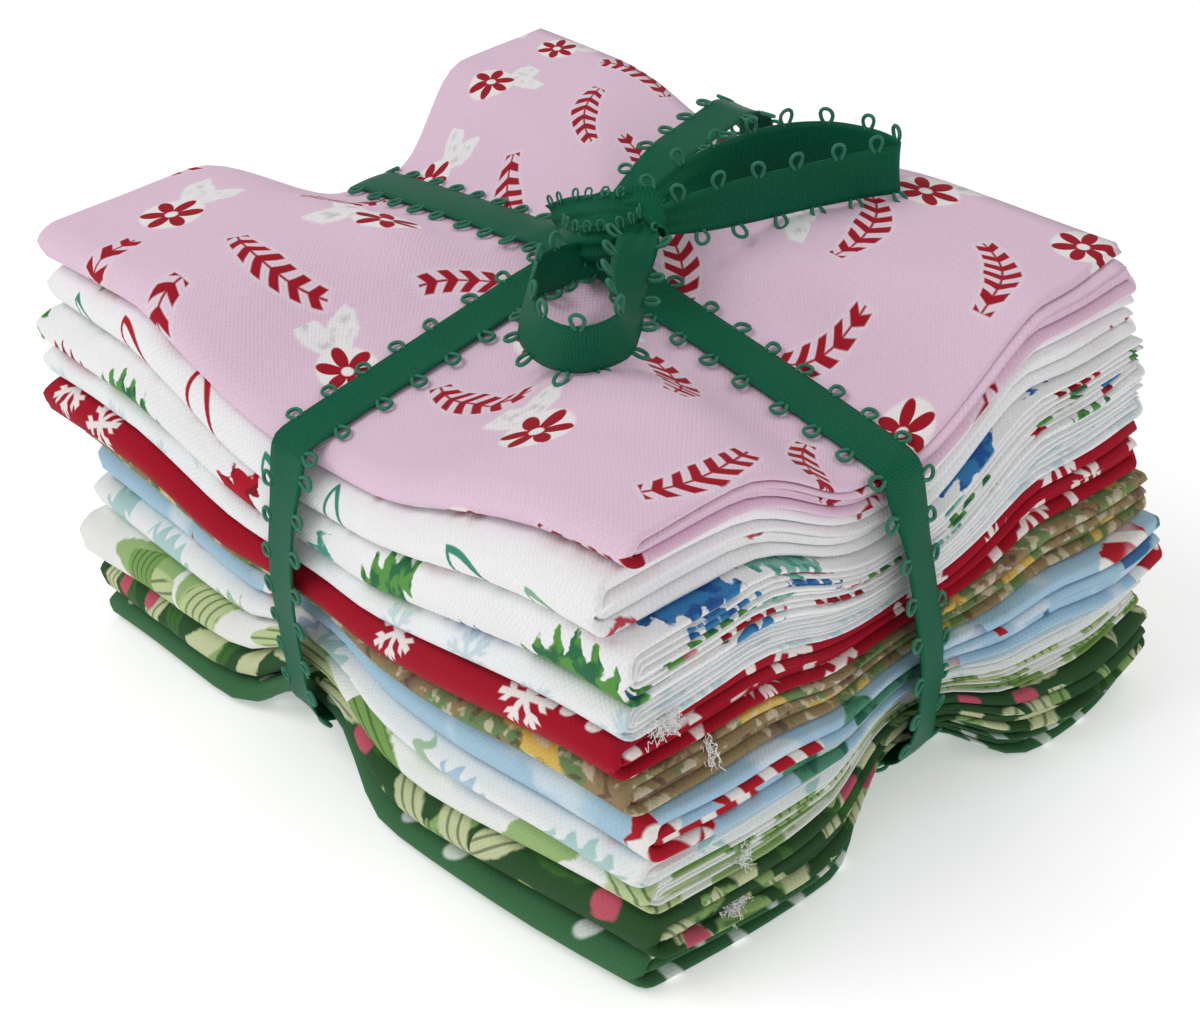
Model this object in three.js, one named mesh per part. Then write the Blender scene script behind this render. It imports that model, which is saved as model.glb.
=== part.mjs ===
// Eleven folded fat quarters tied crosswise with a picot-edged satin ribbon and a two-loop bow.
// Millimetres, +Z up. The origin is under the middle of the bundle's box, on the surface it rests on.
// The ribbon's two lines divide the bundle: "long" runs along X and "short" runs along Y.
import * as THREE from "three";
import { mergeVertices } from "three/addons/utils/BufferGeometryUtils.js";

// The cut cloth and its folds
const CUT_LONG = 559;
const CUT_SHORT = 457;
const PANELS = 4;
const BANDS = 4;
const HALF_X = CUT_LONG / PANELS / 2;
const HALF_Y = CUT_SHORT / BANDS / 2;

// One band is the cloth folded in four the long way; four bands are stacked by the cross folds
const BAND = 1.3;
const BAND_PITCH = 1.65;
const FOLDED = (BANDS - 1) * BAND_PITCH + BAND;
const CLOTH_GAP = 0.45;
const OUTER_FOLD = 1.5 * BAND_PITCH;
const INNER_FOLD = 0.5 * BAND_PITCH;
const FREE_END = { upper: 1, lower: 3 };

// The ribbon
const RIBBON_WIDTH = 8.2;
const RIBBON_THICK = 1.0;
const RIBBON_SEAT = 0.6;
const RIBBON_STEP = 0.4;
const SIDE_STAND_OFF = 1.1;
const SIDE_LEVELS = [0.97, 0.86, 0.7, 0.5, 0.3, 0.14, 0.04];
const NEARBY_LEVEL = 0.1;
const PRESSED_HALF = 5;
const BRIDGE_LIFT = 3.6;

// Nominal places where the cloth is sampled between its edges, with the ribbon lines at zero
const INNER_X = [-44, -18, -PRESSED_HALF, PRESSED_HALF, 18, 44];
const INNER_Y = [-36, -18, -PRESSED_HALF, PRESSED_HALF, 16, 36];
const CROSSING_HALF = 18;

// The bundle's box is centred over the origin by this move of the crossing lines
const FROM_ORIGIN = { x: -2.7, y: 0.36 };
const MIDDLE_HEIGHT = 38;

// The four corners as the camera meets them: left (-X -Y), front (+X -Y), right (+X +Y), back
const TOP_CORNERS = { left: 76, front: 75.5, right: 76.5, back: 78 };

// Where the ribbon crosses each side: cloth height on top, arch below, inward pull at three
// heights, place along the side at the top and at the bottom, and how far the dip spreads.
// The bellies are how far the lowest cloths swell out between the ribbon and each corner.
const SIDES = {
  west: { top: 64.5, arch: 7, insetTop: 6, insetMiddle: 3.5, insetBottom: 4.5,
    shiftTop: 8, shiftLow: 6, spread: 26, bellyBefore: 1, bellyAfter: 1.5 },
  east: { top: 58.5, arch: 8, insetTop: 6, insetMiddle: 5, insetBottom: 6,
    shiftTop: 4.5, shiftLow: 5, spread: 26, bellyBefore: 2.6, bellyAfter: 4.6 },
  south: { top: 59, arch: 8.5, insetTop: 4.5, insetMiddle: 4, insetBottom: 4.5,
    shiftTop: -7, shiftLow: -11, spread: 26, bellyBefore: 0.4, bellyAfter: 3.4 },
  north: { top: 73, arch: 6, insetTop: 3, insetMiddle: 2.5, insetBottom: 3,
    shiftTop: -14, shiftLow: -10, spread: 36, bellyBefore: 1, bellyAfter: 1 },
};
const CENTRE = { top: 73.5, arch: 3.7, shiftX: 0, shiftY: 2 };
const CENTRE_SPREAD = 12;
const ARCH_SPREAD = { centre: 9, edge: 11 };
const INSET_SPREAD = { top: 24, low: 15 };

// Bottom to top. The first four numbers are the height at each corner; the others are how far
// the edge reaches past the nominal fold line at that corner and on that side.
const FABRICS = [
  { name: "fat_quarter_green_dots", colour: 0x2f5e38, left: 5.5, front: 6.0, right: 4.8, back: 6.5,
    west: -1.5, eastFront: 0.0, eastRight: 0.0, southLeft: -1.8, southFront: -0.6, north: -2.5 },
  { name: "fat_quarter_dark_leaves", colour: 0x2c4f2c, left: 7.5, front: 7.4, right: 8.0, back: 7.0,
    west: -2.0, eastFront: 2.0, eastRight: 3.2, southLeft: -1.0, southFront: -0.8, north: 0.5 },
  { name: "fat_quarter_white_leaves", colour: 0xe4ead9, left: 9.0, front: 5.6, right: 5.0, back: 7.0,
    west: 0.0, eastFront: 0.8, eastRight: 1.0, southLeft: 0.4, southFront: -1.4, north: 0.0 },
  { name: "fat_quarter_white_teal", colour: 0xe6ebee, left: 7.1, front: 5.0, right: 5.0, back: 6.5,
    west: -1.7, eastFront: 0.7, eastRight: 2.0, southLeft: -2.5, southFront: -0.4, north: -1.0 },
  { name: "fat_quarter_sky", colour: 0xb9d3ea, left: 7.2, front: 8.6, right: 9.0, back: 7.5,
    west: -2.5, eastFront: 2.6, eastRight: 4.6, southLeft: -3.6, southFront: -0.8, north: 1.2 },
  { name: "fat_quarter_tan", colour: 0xb2a678, left: 5.2, front: 5.8, right: 8.0, back: 6.5,
    west: -1.8, eastFront: 0.6, eastRight: 1.4, southLeft: -2.0, southFront: 0.6, north: 0.0 },
  { name: "fat_quarter_red", colour: 0xa81428, left: 7.5, front: 7.0, right: 9.6, back: 7.5,
    west: 1.4, eastFront: -0.2, eastRight: -0.4, southLeft: 1.6, southFront: 1.7, north: -1.0 },
  { name: "fat_quarter_pale_sprigs", colour: 0xe9eef0, left: 6.2, front: 5.6, right: 7.8, back: 7.0,
    west: 1.2, eastFront: 0.4, eastRight: -0.4, southLeft: 0.6, southFront: 0.3, north: -0.2 },
  { name: "fat_quarter_white_sprigs", colour: 0xeeeff1, left: 6.8, front: 10.4, right: 7.0, back: 7.5,
    west: 1.0, eastFront: 1.4, eastRight: -0.4, southLeft: 0.8, southFront: 0.5, north: -0.5 },
  { name: "fat_quarter_white_hooks", colour: 0xf2f2f2, left: 7.2, front: 10.2, right: 7.5, back: 7.5,
    west: 0.0, eastFront: -2.4, eastRight: -2.0, southLeft: -1.4, southFront: 1.0, north: -1.2 },
  { name: "fat_quarter_pink", colour: 0xe3bcd2, left: 6.8, front: 5.8, right: 8.4, back: 7.5,
    west: 0.6, eastFront: -0.6, eastRight: -4.4, southLeft: -1.8, southFront: -2.6, north: -1.8 },
];

// How far the ends of the four bands stagger, bottom to top
const BAND_STAGGER = [0, -1.3, 0.5, -0.5];

// The bow, in millimetres along the bow's own right and forward directions from the knot
const BOW_TURN = THREE.MathUtils.degToRad(48.9);
const KNOT = {
  base: 75.4, halfRight: 7.6, halfForward: 7.2, halfUp: 4.95, right: 4.0, forward: 3.5,
  ridges: 5, ridgeDepth: 0.07,
};
const LOOP_RIGHT = {
  base: 77.4,
  route: [
    { right: 12.2, forward: -1.5 }, { right: 18, forward: -8 }, { right: 25, forward: -13 },
    { right: 33, forward: -18.5 }, { right: 42, forward: -19 }, { right: 49, forward: -13.5 },
    { right: 50.5, forward: -8 }, { right: 46, forward: -6 }, { right: 36, forward: -3.4 },
    { right: 24, forward: 0 }, { right: 12.9, forward: 3.4 },
  ],
};
const LOOP_FRONT = {
  base: 76.4,
  route: [
    { right: 7.2, forward: 10.9 }, { right: 8.4, forward: 21 }, { right: 8.8, forward: 31 },
    { right: 6.6, forward: 40.5 }, { right: -0.6, forward: 45 }, { right: -7.6, forward: 41 },
    { right: -10, forward: 31.5 }, { right: -7.4, forward: 21 }, { right: -0.8, forward: 9.8 },
  ],
};
const LOOP_STEPS = 18;

const { clamp, lerp, smoothstep } = THREE.MathUtils;

/** Blends a row's four corner values over the bundle. */
function overCorners(row, x, y) {
  const u = clamp(0.5 + x / (2 * HALF_X), 0, 1);
  const v = clamp(0.5 + y / (2 * HALF_Y), 0, 1);
  const near = lerp(row.left, row.front, u);
  const far = lerp(row.back, row.right, u);
  return lerp(near, far, v);
}

/** How strongly the ribbon presses at a distance from its line: 1 under it, 0 well away. */
function pressed(distance, width) {
  return 1 - smoothstep(Math.abs(distance), PRESSED_HALF, PRESSED_HALF + width);
}

/** The side of the bundle that each half of a ribbon line runs to, and how far along it is. */
function towards(x, y) {
  return {
    xSide: x < 0 ? SIDES.west : SIDES.east,
    ySide: y < 0 ? SIDES.south : SIDES.north,
    alongX: Math.min(Math.abs(x) / HALF_X, 1),
    alongY: Math.min(Math.abs(y) / HALF_Y, 1),
  };
}

/** Height of the top of the stack at a nominal place. */
function topHeight(x, y) {
  const { xSide, ySide, alongX, alongY } = towards(x, y);
  const free = overCorners(TOP_CORNERS, x, y);
  const underShort = pressed(x, lerp(CENTRE_SPREAD, ySide.spread, alongY));
  const underLong = pressed(y, lerp(CENTRE_SPREAD, xSide.spread, alongX));
  const shortDepth = free - lerp(CENTRE.top, ySide.top, alongY);
  const longDepth = free - lerp(CENTRE.top, xSide.top, alongX);
  const crossing = (free - CENTRE.top) * underShort * underLong;
  return free - shortDepth * underShort - longDepth * underLong + crossing;
}

/** Height of the underside of the stack: arched up at the ribbon, flat on the four corners. */
function underHeight(x, y) {
  const { xSide, ySide, alongX, alongY } = towards(x, y);
  const underShort = pressed(x, lerp(ARCH_SPREAD.centre, ARCH_SPREAD.edge, alongY));
  const underLong = pressed(y, lerp(ARCH_SPREAD.centre, ARCH_SPREAD.edge, alongX));
  const shortArch = lerp(CENTRE.arch, ySide.arch, alongY) * underShort;
  const longArch = lerp(CENTRE.arch, xSide.arch, alongX) * underLong;
  return shortArch + longArch - CENTRE.arch * underShort * underLong;
}

/** How far the ribbon pulls a side in, at a share of the stack's height. */
function inset(side, level) {
  const upper = Math.max(0, 2 * level - 1) ** 2;
  const lower = Math.max(0, 1 - 2 * level) ** 2;
  const middle = side.insetMiddle;
  return middle + (side.insetTop - middle) * upper + (side.insetBottom - middle) * lower;
}

/** How far a side swells out at a share of the way from the ribbon to the corner. */
function belly(side, along, level) {
  const most = along < 0 ? side.bellyBefore : side.bellyAfter;
  return most * Math.sin(Math.PI * clamp(Math.abs(along), 0, 1)) * (1 - level) ** 2;
}

/** Maps a nominal place and a share of the stack's height to the real place. */
function place(x, y, level) {
  const { xSide, ySide, alongX, alongY } = towards(x, y);
  const shiftX = lerp(ySide.shiftLow, ySide.shiftTop, level);
  const shiftY = lerp(xSide.shiftLow, xSide.shiftTop, level);
  const leanX = lerp(CENTRE.shiftX, shiftX, alongY) * (1 - alongX ** 2);
  const leanY = lerp(CENTRE.shiftY, shiftY, alongX) * (1 - alongY ** 2);
  const spread = lerp(INSET_SPREAD.low, INSET_SPREAD.top, level);
  const inX = inset(xSide, level) * pressed(y, spread) - belly(xSide, y / HALF_Y, level);
  const inY = inset(ySide, level) * pressed(x, spread) - belly(ySide, x / HALF_X, level);
  const pullX = inX * Math.abs(x / HALF_X) ** 3;
  const pullY = inY * Math.abs(y / HALF_Y) ** 3;
  return new THREE.Vector3(
    x + leanX - Math.sign(x) * pullX,
    y + leanY - Math.sign(y) * pullY,
    lerp(underHeight(x, y), topHeight(x, y), level),
  );
}

/** The share of the stack's height at which each fabric starts, and where the last one ends. */
function levelsAt(x, y) {
  const starts = [0];
  for (const row of FABRICS) {
    starts.push(starts.at(-1) + overCorners(row, x, y));
  }
  const whole = starts.at(-1);
  return starts.map((start) => start / whole);
}

/** Places a point of a fabric's section, given in millimetres up from the fabric's underside. */
function placeInFabric(index, x, y, up) {
  const levels = levelsAt(x, y);
  const height = topHeight(x, y) - underHeight(x, y);
  const gap = CLOTH_GAP / height / 2;
  const low = index === 0 ? 0 : levels[index] + gap;
  const high = index === FABRICS.length - 1 ? 1 : levels[index + 1] - gap;
  return place(x, y, lerp(low, high, up / FOLDED));
}

/** One fabric's folded section: pairs of points on the two faces of the cloth, in Y and up. */
function foldedSection() {
  const middle = FOLDED / 2;
  const front = -HALF_Y + OUTER_FOLD + BAND / 2;
  const back = HALF_Y - INNER_FOLD - BAND / 2;
  const pairs = [];
  const half = BAND / 2;
  const addBand = (height, forward, extra) => {
    const places = forward ? [...INNER_Y].reverse() : INNER_Y;
    const turn = forward ? -1 : 1;
    for (const y of [...extra.before, ...places, ...extra.after]) {
      pairs.push([[y, height + turn * half], [y, height - turn * half]]);
    }
  };
  const addFold = (centre, radius, from, to, steps) => {
    for (let i = 0; i <= steps; i += 1) {
      const angle = lerp(from, to, i / steps);
      const c = Math.cos(angle);
      const s = Math.sin(angle);
      const turn = Math.sign(to - from);
      const ends = [turn * -half, turn * half].map((out) => [
        centre[0] + (radius + out) * c,
        centre[1] + (radius + out) * s,
      ]);
      pairs.push(ends);
    }
  };
  const quarter = Math.PI / 2;
  const bandAt = (order) => BAND / 2 + order * BAND_PITCH;
  addBand(bandAt(3), true, { before: [HALF_Y - FREE_END.upper], after: [] });
  addFold([front, middle], OUTER_FOLD, quarter, 3 * quarter, 4);
  addBand(bandAt(0), false, { before: [], after: [] });
  addFold([back, bandAt(0) + INNER_FOLD], INNER_FOLD, -quarter, quarter, 2);
  addBand(bandAt(1), true, { before: [], after: [] });
  addFold([front, middle], INNER_FOLD, 3 * quarter, quarter, 2);
  addBand(bandAt(2), false, { before: [], after: [HALF_Y - FREE_END.lower] });
  return pairs;
}

/** Joins rings of points into one closed geometry; a ring is a ladder of paired points. */
function skin(rings, looped) {
  const size = rings[0].length;
  const points = rings.flat();
  const faces = [];
  const addQuad = (a, b, c, d) => faces.push(a, b, c, a, c, d);
  const addMatchedQuad = (a, b, c, d) => {
    if (points[a].y <= points[b].y) {
      addQuad(a, b, c, d);
    } else {
      addQuad(b, c, d, a);
    }
  };
  const spans = looped ? rings.length : rings.length - 1;
  for (let i = 0; i < spans; i += 1) {
    const here = i * size;
    const next = ((i + 1) % rings.length) * size;
    for (let j = 0; j < size; j += 1) {
      const k = (j + 1) % size;
      addMatchedQuad(here + j, here + k, next + k, next + j);
    }
  }
  if (!looped) {
    const last = (rings.length - 1) * size;
    for (let j = 0; j < size / 2 - 1; j += 1) {
      const across = size - 1 - j;
      addQuad(j, across, across - 1, j + 1);
      addQuad(last + j, last + j + 1, last + across - 1, last + across);
    }
  }
  const geometry = new THREE.BufferGeometry().setFromPoints(points);
  geometry.setIndex(signedVolume(points, faces) < 0 ? faces.reverse() : faces);
  return geometry;
}

/** Signed volume of a closed triangle list, negative when its faces point inwards. */
function signedVolume(points, faces) {
  let total = 0;
  for (let i = 0; i < faces.length; i += 3) {
    const [a, b, c] = [points[faces[i]], points[faces[i + 1]], points[faces[i + 2]]];
    total += a.dot(new THREE.Vector3().crossVectors(b, c)) / 6;
  }
  return total;
}

/** A new satin material, one for each piece of the ribbon. */
function satin() {
  return new THREE.MeshStandardMaterial({ color: 0x14563c, roughness: 0.45, metalness: 0 });
}

/** Wraps a geometry and its material as a named mesh. */
function namedMesh(name, geometry, material) {
  geometry.computeVertexNormals();
  const mesh = new THREE.Mesh(geometry, material);
  mesh.name = name;
  return mesh;
}

/** How far a fabric's fold line or end moves out at a nominal place on it. */
function reachX(row, x, y) {
  const towardsBack = clamp(0.5 + y / (2 * HALF_Y), 0, 1);
  return x < 0 ? -row.west : lerp(row.eastFront, row.eastRight, towardsBack);
}

function reachY(row, x, y) {
  const towardsFront = clamp(0.5 + x / (2 * HALF_X), 0, 1);
  const moving = smoothstep(Math.abs(y), INNER_Y.at(-1), HALF_Y - OUTER_FOLD);
  const reach = y < 0 ? -lerp(row.southLeft, row.southFront, towardsFront) : row.north;
  return reach * moving;
}

/** How far the band at a height in its fabric runs past its fellows at both ends. */
function bandStagger(up) {
  const order = clamp((up - BAND / 2) / BAND_PITCH, 0, BANDS - 1);
  const lower = Math.floor(order);
  const upper = Math.min(lower + 1, BANDS - 1);
  return lerp(BAND_STAGGER[lower], BAND_STAGGER[upper], order - lower);
}

/** Makes one folded fat quarter. */
function makeFatQuarter(index) {
  const row = FABRICS[index];
  const section = foldedSection();
  const outline = [...section.map((pair) => pair[0]), ...section.map((pair) => pair[1]).reverse()];
  const atEnd = (side) => outline.map(([y, up]) => {
    const x = side * (HALF_X + bandStagger(up)) + reachX(row, side, y);
    return placeInFabric(index, x, y + reachY(row, x, y), up);
  });
  const inside = INNER_X.map((x) => outline.map(([y, up]) => (
    placeInFabric(index, x, y + reachY(row, x, y), up)
  )));
  const rings = [atEnd(-1), ...inside, atEnd(1)];
  const cloth = new THREE.MeshStandardMaterial({ color: row.colour, roughness: 0.95, metalness: 0 });
  return namedMesh(row.name, skin(rings, false), cloth);
}

/** The furthest that any fabric near a share of the height reaches past a side. */
function sideReach(level, reachOf) {
  const levels = levelsAt(0, 0);
  const near = FABRICS.filter((row, i) => (
    levels[i] < level + NEARBY_LEVEL && levels[i + 1] > level - NEARBY_LEVEL
  ));
  return Math.max(...near.map(reachOf));
}

// The two wraps. Near is the west or south side and far is the east or north side; turn is how
// far inside the side's edge the cloth starts to turn down.
const LONG_WRAP = {
  name: "ribbon_wrap_long",
  half: HALF_X,
  stations: INNER_X,
  near: { turn: 0, reach: (row) => row.west },
  far: { turn: 0, reach: (row) => (row.eastFront + row.eastRight) / 2 },
  lift: (x) => (Math.abs(x) <= CROSSING_HALF ? RIBBON_SEAT + RIBBON_THICK + RIBBON_STEP : RIBBON_SEAT),
  bridge: () => 0,
  locate: (along, side, level) => place(along, side, level),
  outward: new THREE.Vector3(1, 0, 0),
};
const SHORT_WRAP = {
  name: "ribbon_wrap_short",
  half: HALF_Y,
  stations: INNER_Y,
  near: { turn: 3, reach: (row) => (row.southLeft + row.southFront) / 2 },
  far: { turn: 1, reach: (row) => row.north },
  lift: () => RIBBON_SEAT,
  bridge: (y) => BRIDGE_LIFT * smoothstep(y, 0, INNER_Y.at(-1)),
  locate: (along, side, level) => place(side, along, level),
  outward: new THREE.Vector3(0, 1, 0),
};

/** A wrap's stops once round the bundle: over the top, down the far side, under and up again. */
function wrapStops({ half, stations, near, far, lift, bridge }) {
  const top = FABRICS.at(-1);
  const over = [near.turn - half - near.reach(top), ...stations, half - far.turn + far.reach(top)];
  const under = [near.turn - half, ...stations, half - far.turn];
  const downFar = SIDE_LEVELS.map((level) => (
    { along: half + sideReach(level, far.reach), level, up: 0, out: SIDE_STAND_OFF }
  ));
  const downNear = SIDE_LEVELS.map((level) => (
    { along: -half - sideReach(level, near.reach), level, up: 0, out: -SIDE_STAND_OFF }
  ));
  return [
    ...over.map((along) => ({ along, level: 1, up: lift(along) + bridge(along), out: 0 })),
    ...downFar,
    ...under.reverse().map((along) => ({ along, level: 0, up: -lift(along), out: 0 })),
    ...downNear.reverse(),
  ];
}

/** Makes a ribbon wrap from its two edge rails, given thickness away from the bundle's middle. */
function makeWrap(wrap) {
  const stops = wrapStops(wrap);
  const rails = [-RIBBON_WIDTH / 2, RIBBON_WIDTH / 2].map((side) => stops.map((stop) => (
    wrap.locate(stop.along, side, stop.level)
      .addScaledVector(wrap.outward, stop.out)
      .add(new THREE.Vector3(0, 0, stop.up))
  )));
  const rings = stops.map((stop, i) => {
    const before = (i + stops.length - 1) % stops.length;
    const after = (i + 1) % stops.length;
    const across = rails[1][i].clone().sub(rails[0][i]).normalize();
    const along = rails[0][after].clone().sub(rails[0][before]).normalize();
    const away = new THREE.Vector3().crossVectors(along, across).normalize();
    const fromMiddle = rails[0][i].clone().sub(new THREE.Vector3(0, 0, MIDDLE_HEIGHT));
    away.multiplyScalar(away.dot(fromMiddle) < 0 ? -RIBBON_THICK : RIBBON_THICK);
    const [left, right] = rails.map((rail) => rail[i]);
    return [left, right, right.clone().add(away), left.clone().add(away)];
  });
  return namedMesh(wrap.name, skin(rings, true), satin());
}

/** Turns the bow's own right and forward distances into the bundle's X and Y. */
function bowPlan({ right, forward }) {
  const c = Math.cos(BOW_TURN);
  const s = Math.sin(BOW_TURN);
  return new THREE.Vector2(
    CENTRE.shiftX + right * c + forward * s,
    CENTRE.shiftY + right * s - forward * c,
  );
}

/** Makes a bow loop: ribbon standing on its edge along a plan path. */
function makeLoop(name, loop) {
  const curve = new THREE.SplineCurve(loop.route.map(bowPlan));
  const rings = [];
  for (let i = 0; i <= LOOP_STEPS; i += 1) {
    const share = i / LOOP_STEPS;
    const at = curve.getPointAt(share);
    const along = curve.getTangentAt(share);
    const across = new THREE.Vector2(-along.y, along.x).multiplyScalar(RIBBON_THICK / 2);
    const inner = at.clone().sub(across);
    const outer = at.clone().add(across);
    const high = loop.base + RIBBON_WIDTH;
    rings.push([
      new THREE.Vector3(inner.x, inner.y, loop.base),
      new THREE.Vector3(inner.x, inner.y, high),
      new THREE.Vector3(outer.x, outer.y, high),
      new THREE.Vector3(outer.x, outer.y, loop.base),
    ]);
  }
  return namedMesh(name, skin(rings, false), satin());
}

/** Makes the knot: a squat lump with low ridges round it. */
function makeKnot() {
  const geometry = new THREE.SphereGeometry(1, 18, 12);
  geometry.deleteAttribute("normal");
  geometry.deleteAttribute("uv");
  const centre = bowPlan(KNOT);
  const position = geometry.getAttribute("position");
  for (let i = 0; i < position.count; i += 1) {
    const right = position.getX(i);
    const up = position.getY(i);
    const forward = position.getZ(i);
    const ridge = 1 + KNOT.ridgeDepth * Math.cos(KNOT.ridges * Math.atan2(forward, right));
    const plan = bowPlan({
      right: right * KNOT.halfRight * ridge,
      forward: forward * KNOT.halfForward * ridge,
    });
    position.setXYZ(
      i,
      plan.x - CENTRE.shiftX + centre.x,
      plan.y - CENTRE.shiftY + centre.y,
      KNOT.base + (1 + up) * KNOT.halfUp,
    );
  }
  return namedMesh("ribbon_knot", mergeVertices(geometry), satin());
}

const bundle = new THREE.Group();
for (let index = 0; index < FABRICS.length; index += 1) {
  bundle.add(makeFatQuarter(index));
}
bundle.add(makeWrap(SHORT_WRAP));
bundle.add(makeWrap(LONG_WRAP));
bundle.add(makeKnot());
bundle.add(makeLoop("ribbon_loop_right", LOOP_RIGHT));
bundle.add(makeLoop("ribbon_loop_front", LOOP_FRONT));
bundle.position.set(FROM_ORIGIN.x, FROM_ORIGIN.y, 0);

export default bundle;
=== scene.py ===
"""Dresses a tied bundle of eleven folded fat quarters as printed cotton and picot-edged satin."""

import logging
import math
from collections.abc import Callable
from dataclasses import dataclass
from enum import Enum

import bpy
import numpy as np
from mathutils import Matrix, Vector


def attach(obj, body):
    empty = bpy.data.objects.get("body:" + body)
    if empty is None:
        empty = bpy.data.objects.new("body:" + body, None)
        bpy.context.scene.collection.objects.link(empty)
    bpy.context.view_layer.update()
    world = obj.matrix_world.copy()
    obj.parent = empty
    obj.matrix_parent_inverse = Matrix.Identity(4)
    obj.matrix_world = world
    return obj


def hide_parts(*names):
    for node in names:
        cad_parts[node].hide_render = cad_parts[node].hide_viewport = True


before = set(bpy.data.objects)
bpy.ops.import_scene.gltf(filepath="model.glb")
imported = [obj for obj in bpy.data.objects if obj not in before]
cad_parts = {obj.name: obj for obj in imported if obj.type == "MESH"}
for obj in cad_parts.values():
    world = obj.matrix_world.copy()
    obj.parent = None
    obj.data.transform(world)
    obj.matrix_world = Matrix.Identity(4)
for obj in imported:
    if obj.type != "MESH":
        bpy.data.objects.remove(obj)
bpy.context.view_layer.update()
log = logging.getLogger("bundle")

# Sizes are in millimetres; meshes are built in metres.
METRES = 0.001
CUT_LONG = 559.0
CUT_SHORT = 457.0
PANELS = 4
HALF_X = CUT_LONG / PANELS / 2
HALF_Y = CUT_SHORT / PANELS / 2
FOLDED = 6.25
CLOTH_GAP = 0.45
FROM_ORIGIN = (-2.7, 0.36)
PRESSED_HALF = 5.0


def smoothstep(value: np.ndarray, low: float | np.ndarray, high: float | np.ndarray) -> np.ndarray:
    """Eases from 0 at low to 1 at high."""
    share = np.clip((value - low) / (high - low), 0.0, 1.0)
    return share * share * (3.0 - 2.0 * share)


def blend(start: float | np.ndarray, end: float | np.ndarray, share: float | np.ndarray) -> np.ndarray:
    """Mixes two values by a share."""
    return start + (end - start) * share


def ripple(x: np.ndarray, y: np.ndarray, seed: int, length: float) -> np.ndarray:
    """Makes a gentle uneven wave over the plan, between about -1 and 1.

    Args:
        x: Places along X, in millimetres.
        y: Places along Y, in millimetres.
        seed: Picks one wave out of many.
        length: The main wavelength, in millimetres.

    Returns:
        The wave's height at each place.
    """
    draws = np.random.default_rng(seed)
    total = np.zeros(np.broadcast(x, y).shape)
    for octave in range(4):
        angle, phase = draws.uniform(0.0, math.tau, 2)
        rate = math.tau / length * (0.7 + 0.45 * octave)
        total = total + np.sin(rate * (x * math.cos(angle) + y * math.sin(angle)) + phase) / (1 + octave)
    return total / 2.1


# The pressed stack


@dataclass(frozen=True)
class Side:
    """One side of the bundle where the ribbon crosses it.

    top and arch are the cloth's height over and under the ribbon, the insets how far the side is
    pulled in at three heights, the shifts where the ribbon lies along the side, the spreads how far
    the dip runs on each half, and the bellies how far the low cloths swell out on each half.
    """

    top: float
    arch: float
    inset_top: float
    inset_middle: float
    inset_bottom: float
    shift_top: float
    shift_low: float
    spread_before: float
    spread_after: float
    belly_before: float
    belly_after: float


@dataclass(frozen=True)
class Crease:
    """A soft trough or ridge in the cloths near the top, from one plan place to another."""

    start: tuple[float, float]
    end: tuple[float, float]
    rise: float
    width: float

    def height(self, x: np.ndarray, y: np.ndarray) -> np.ndarray:
        """Gives the crease's height at plan places."""
        along = np.array(self.end) - np.array(self.start)
        share = ((x - self.start[0]) * along[0] + (y - self.start[1]) * along[1]) / float(along @ along)
        held = np.clip(share, 0.0, 1.0)
        away = np.hypot(x - self.start[0] - held * along[0], y - self.start[1] - held * along[1])
        return self.rise * np.exp(-((away / self.width) ** 2))


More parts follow.
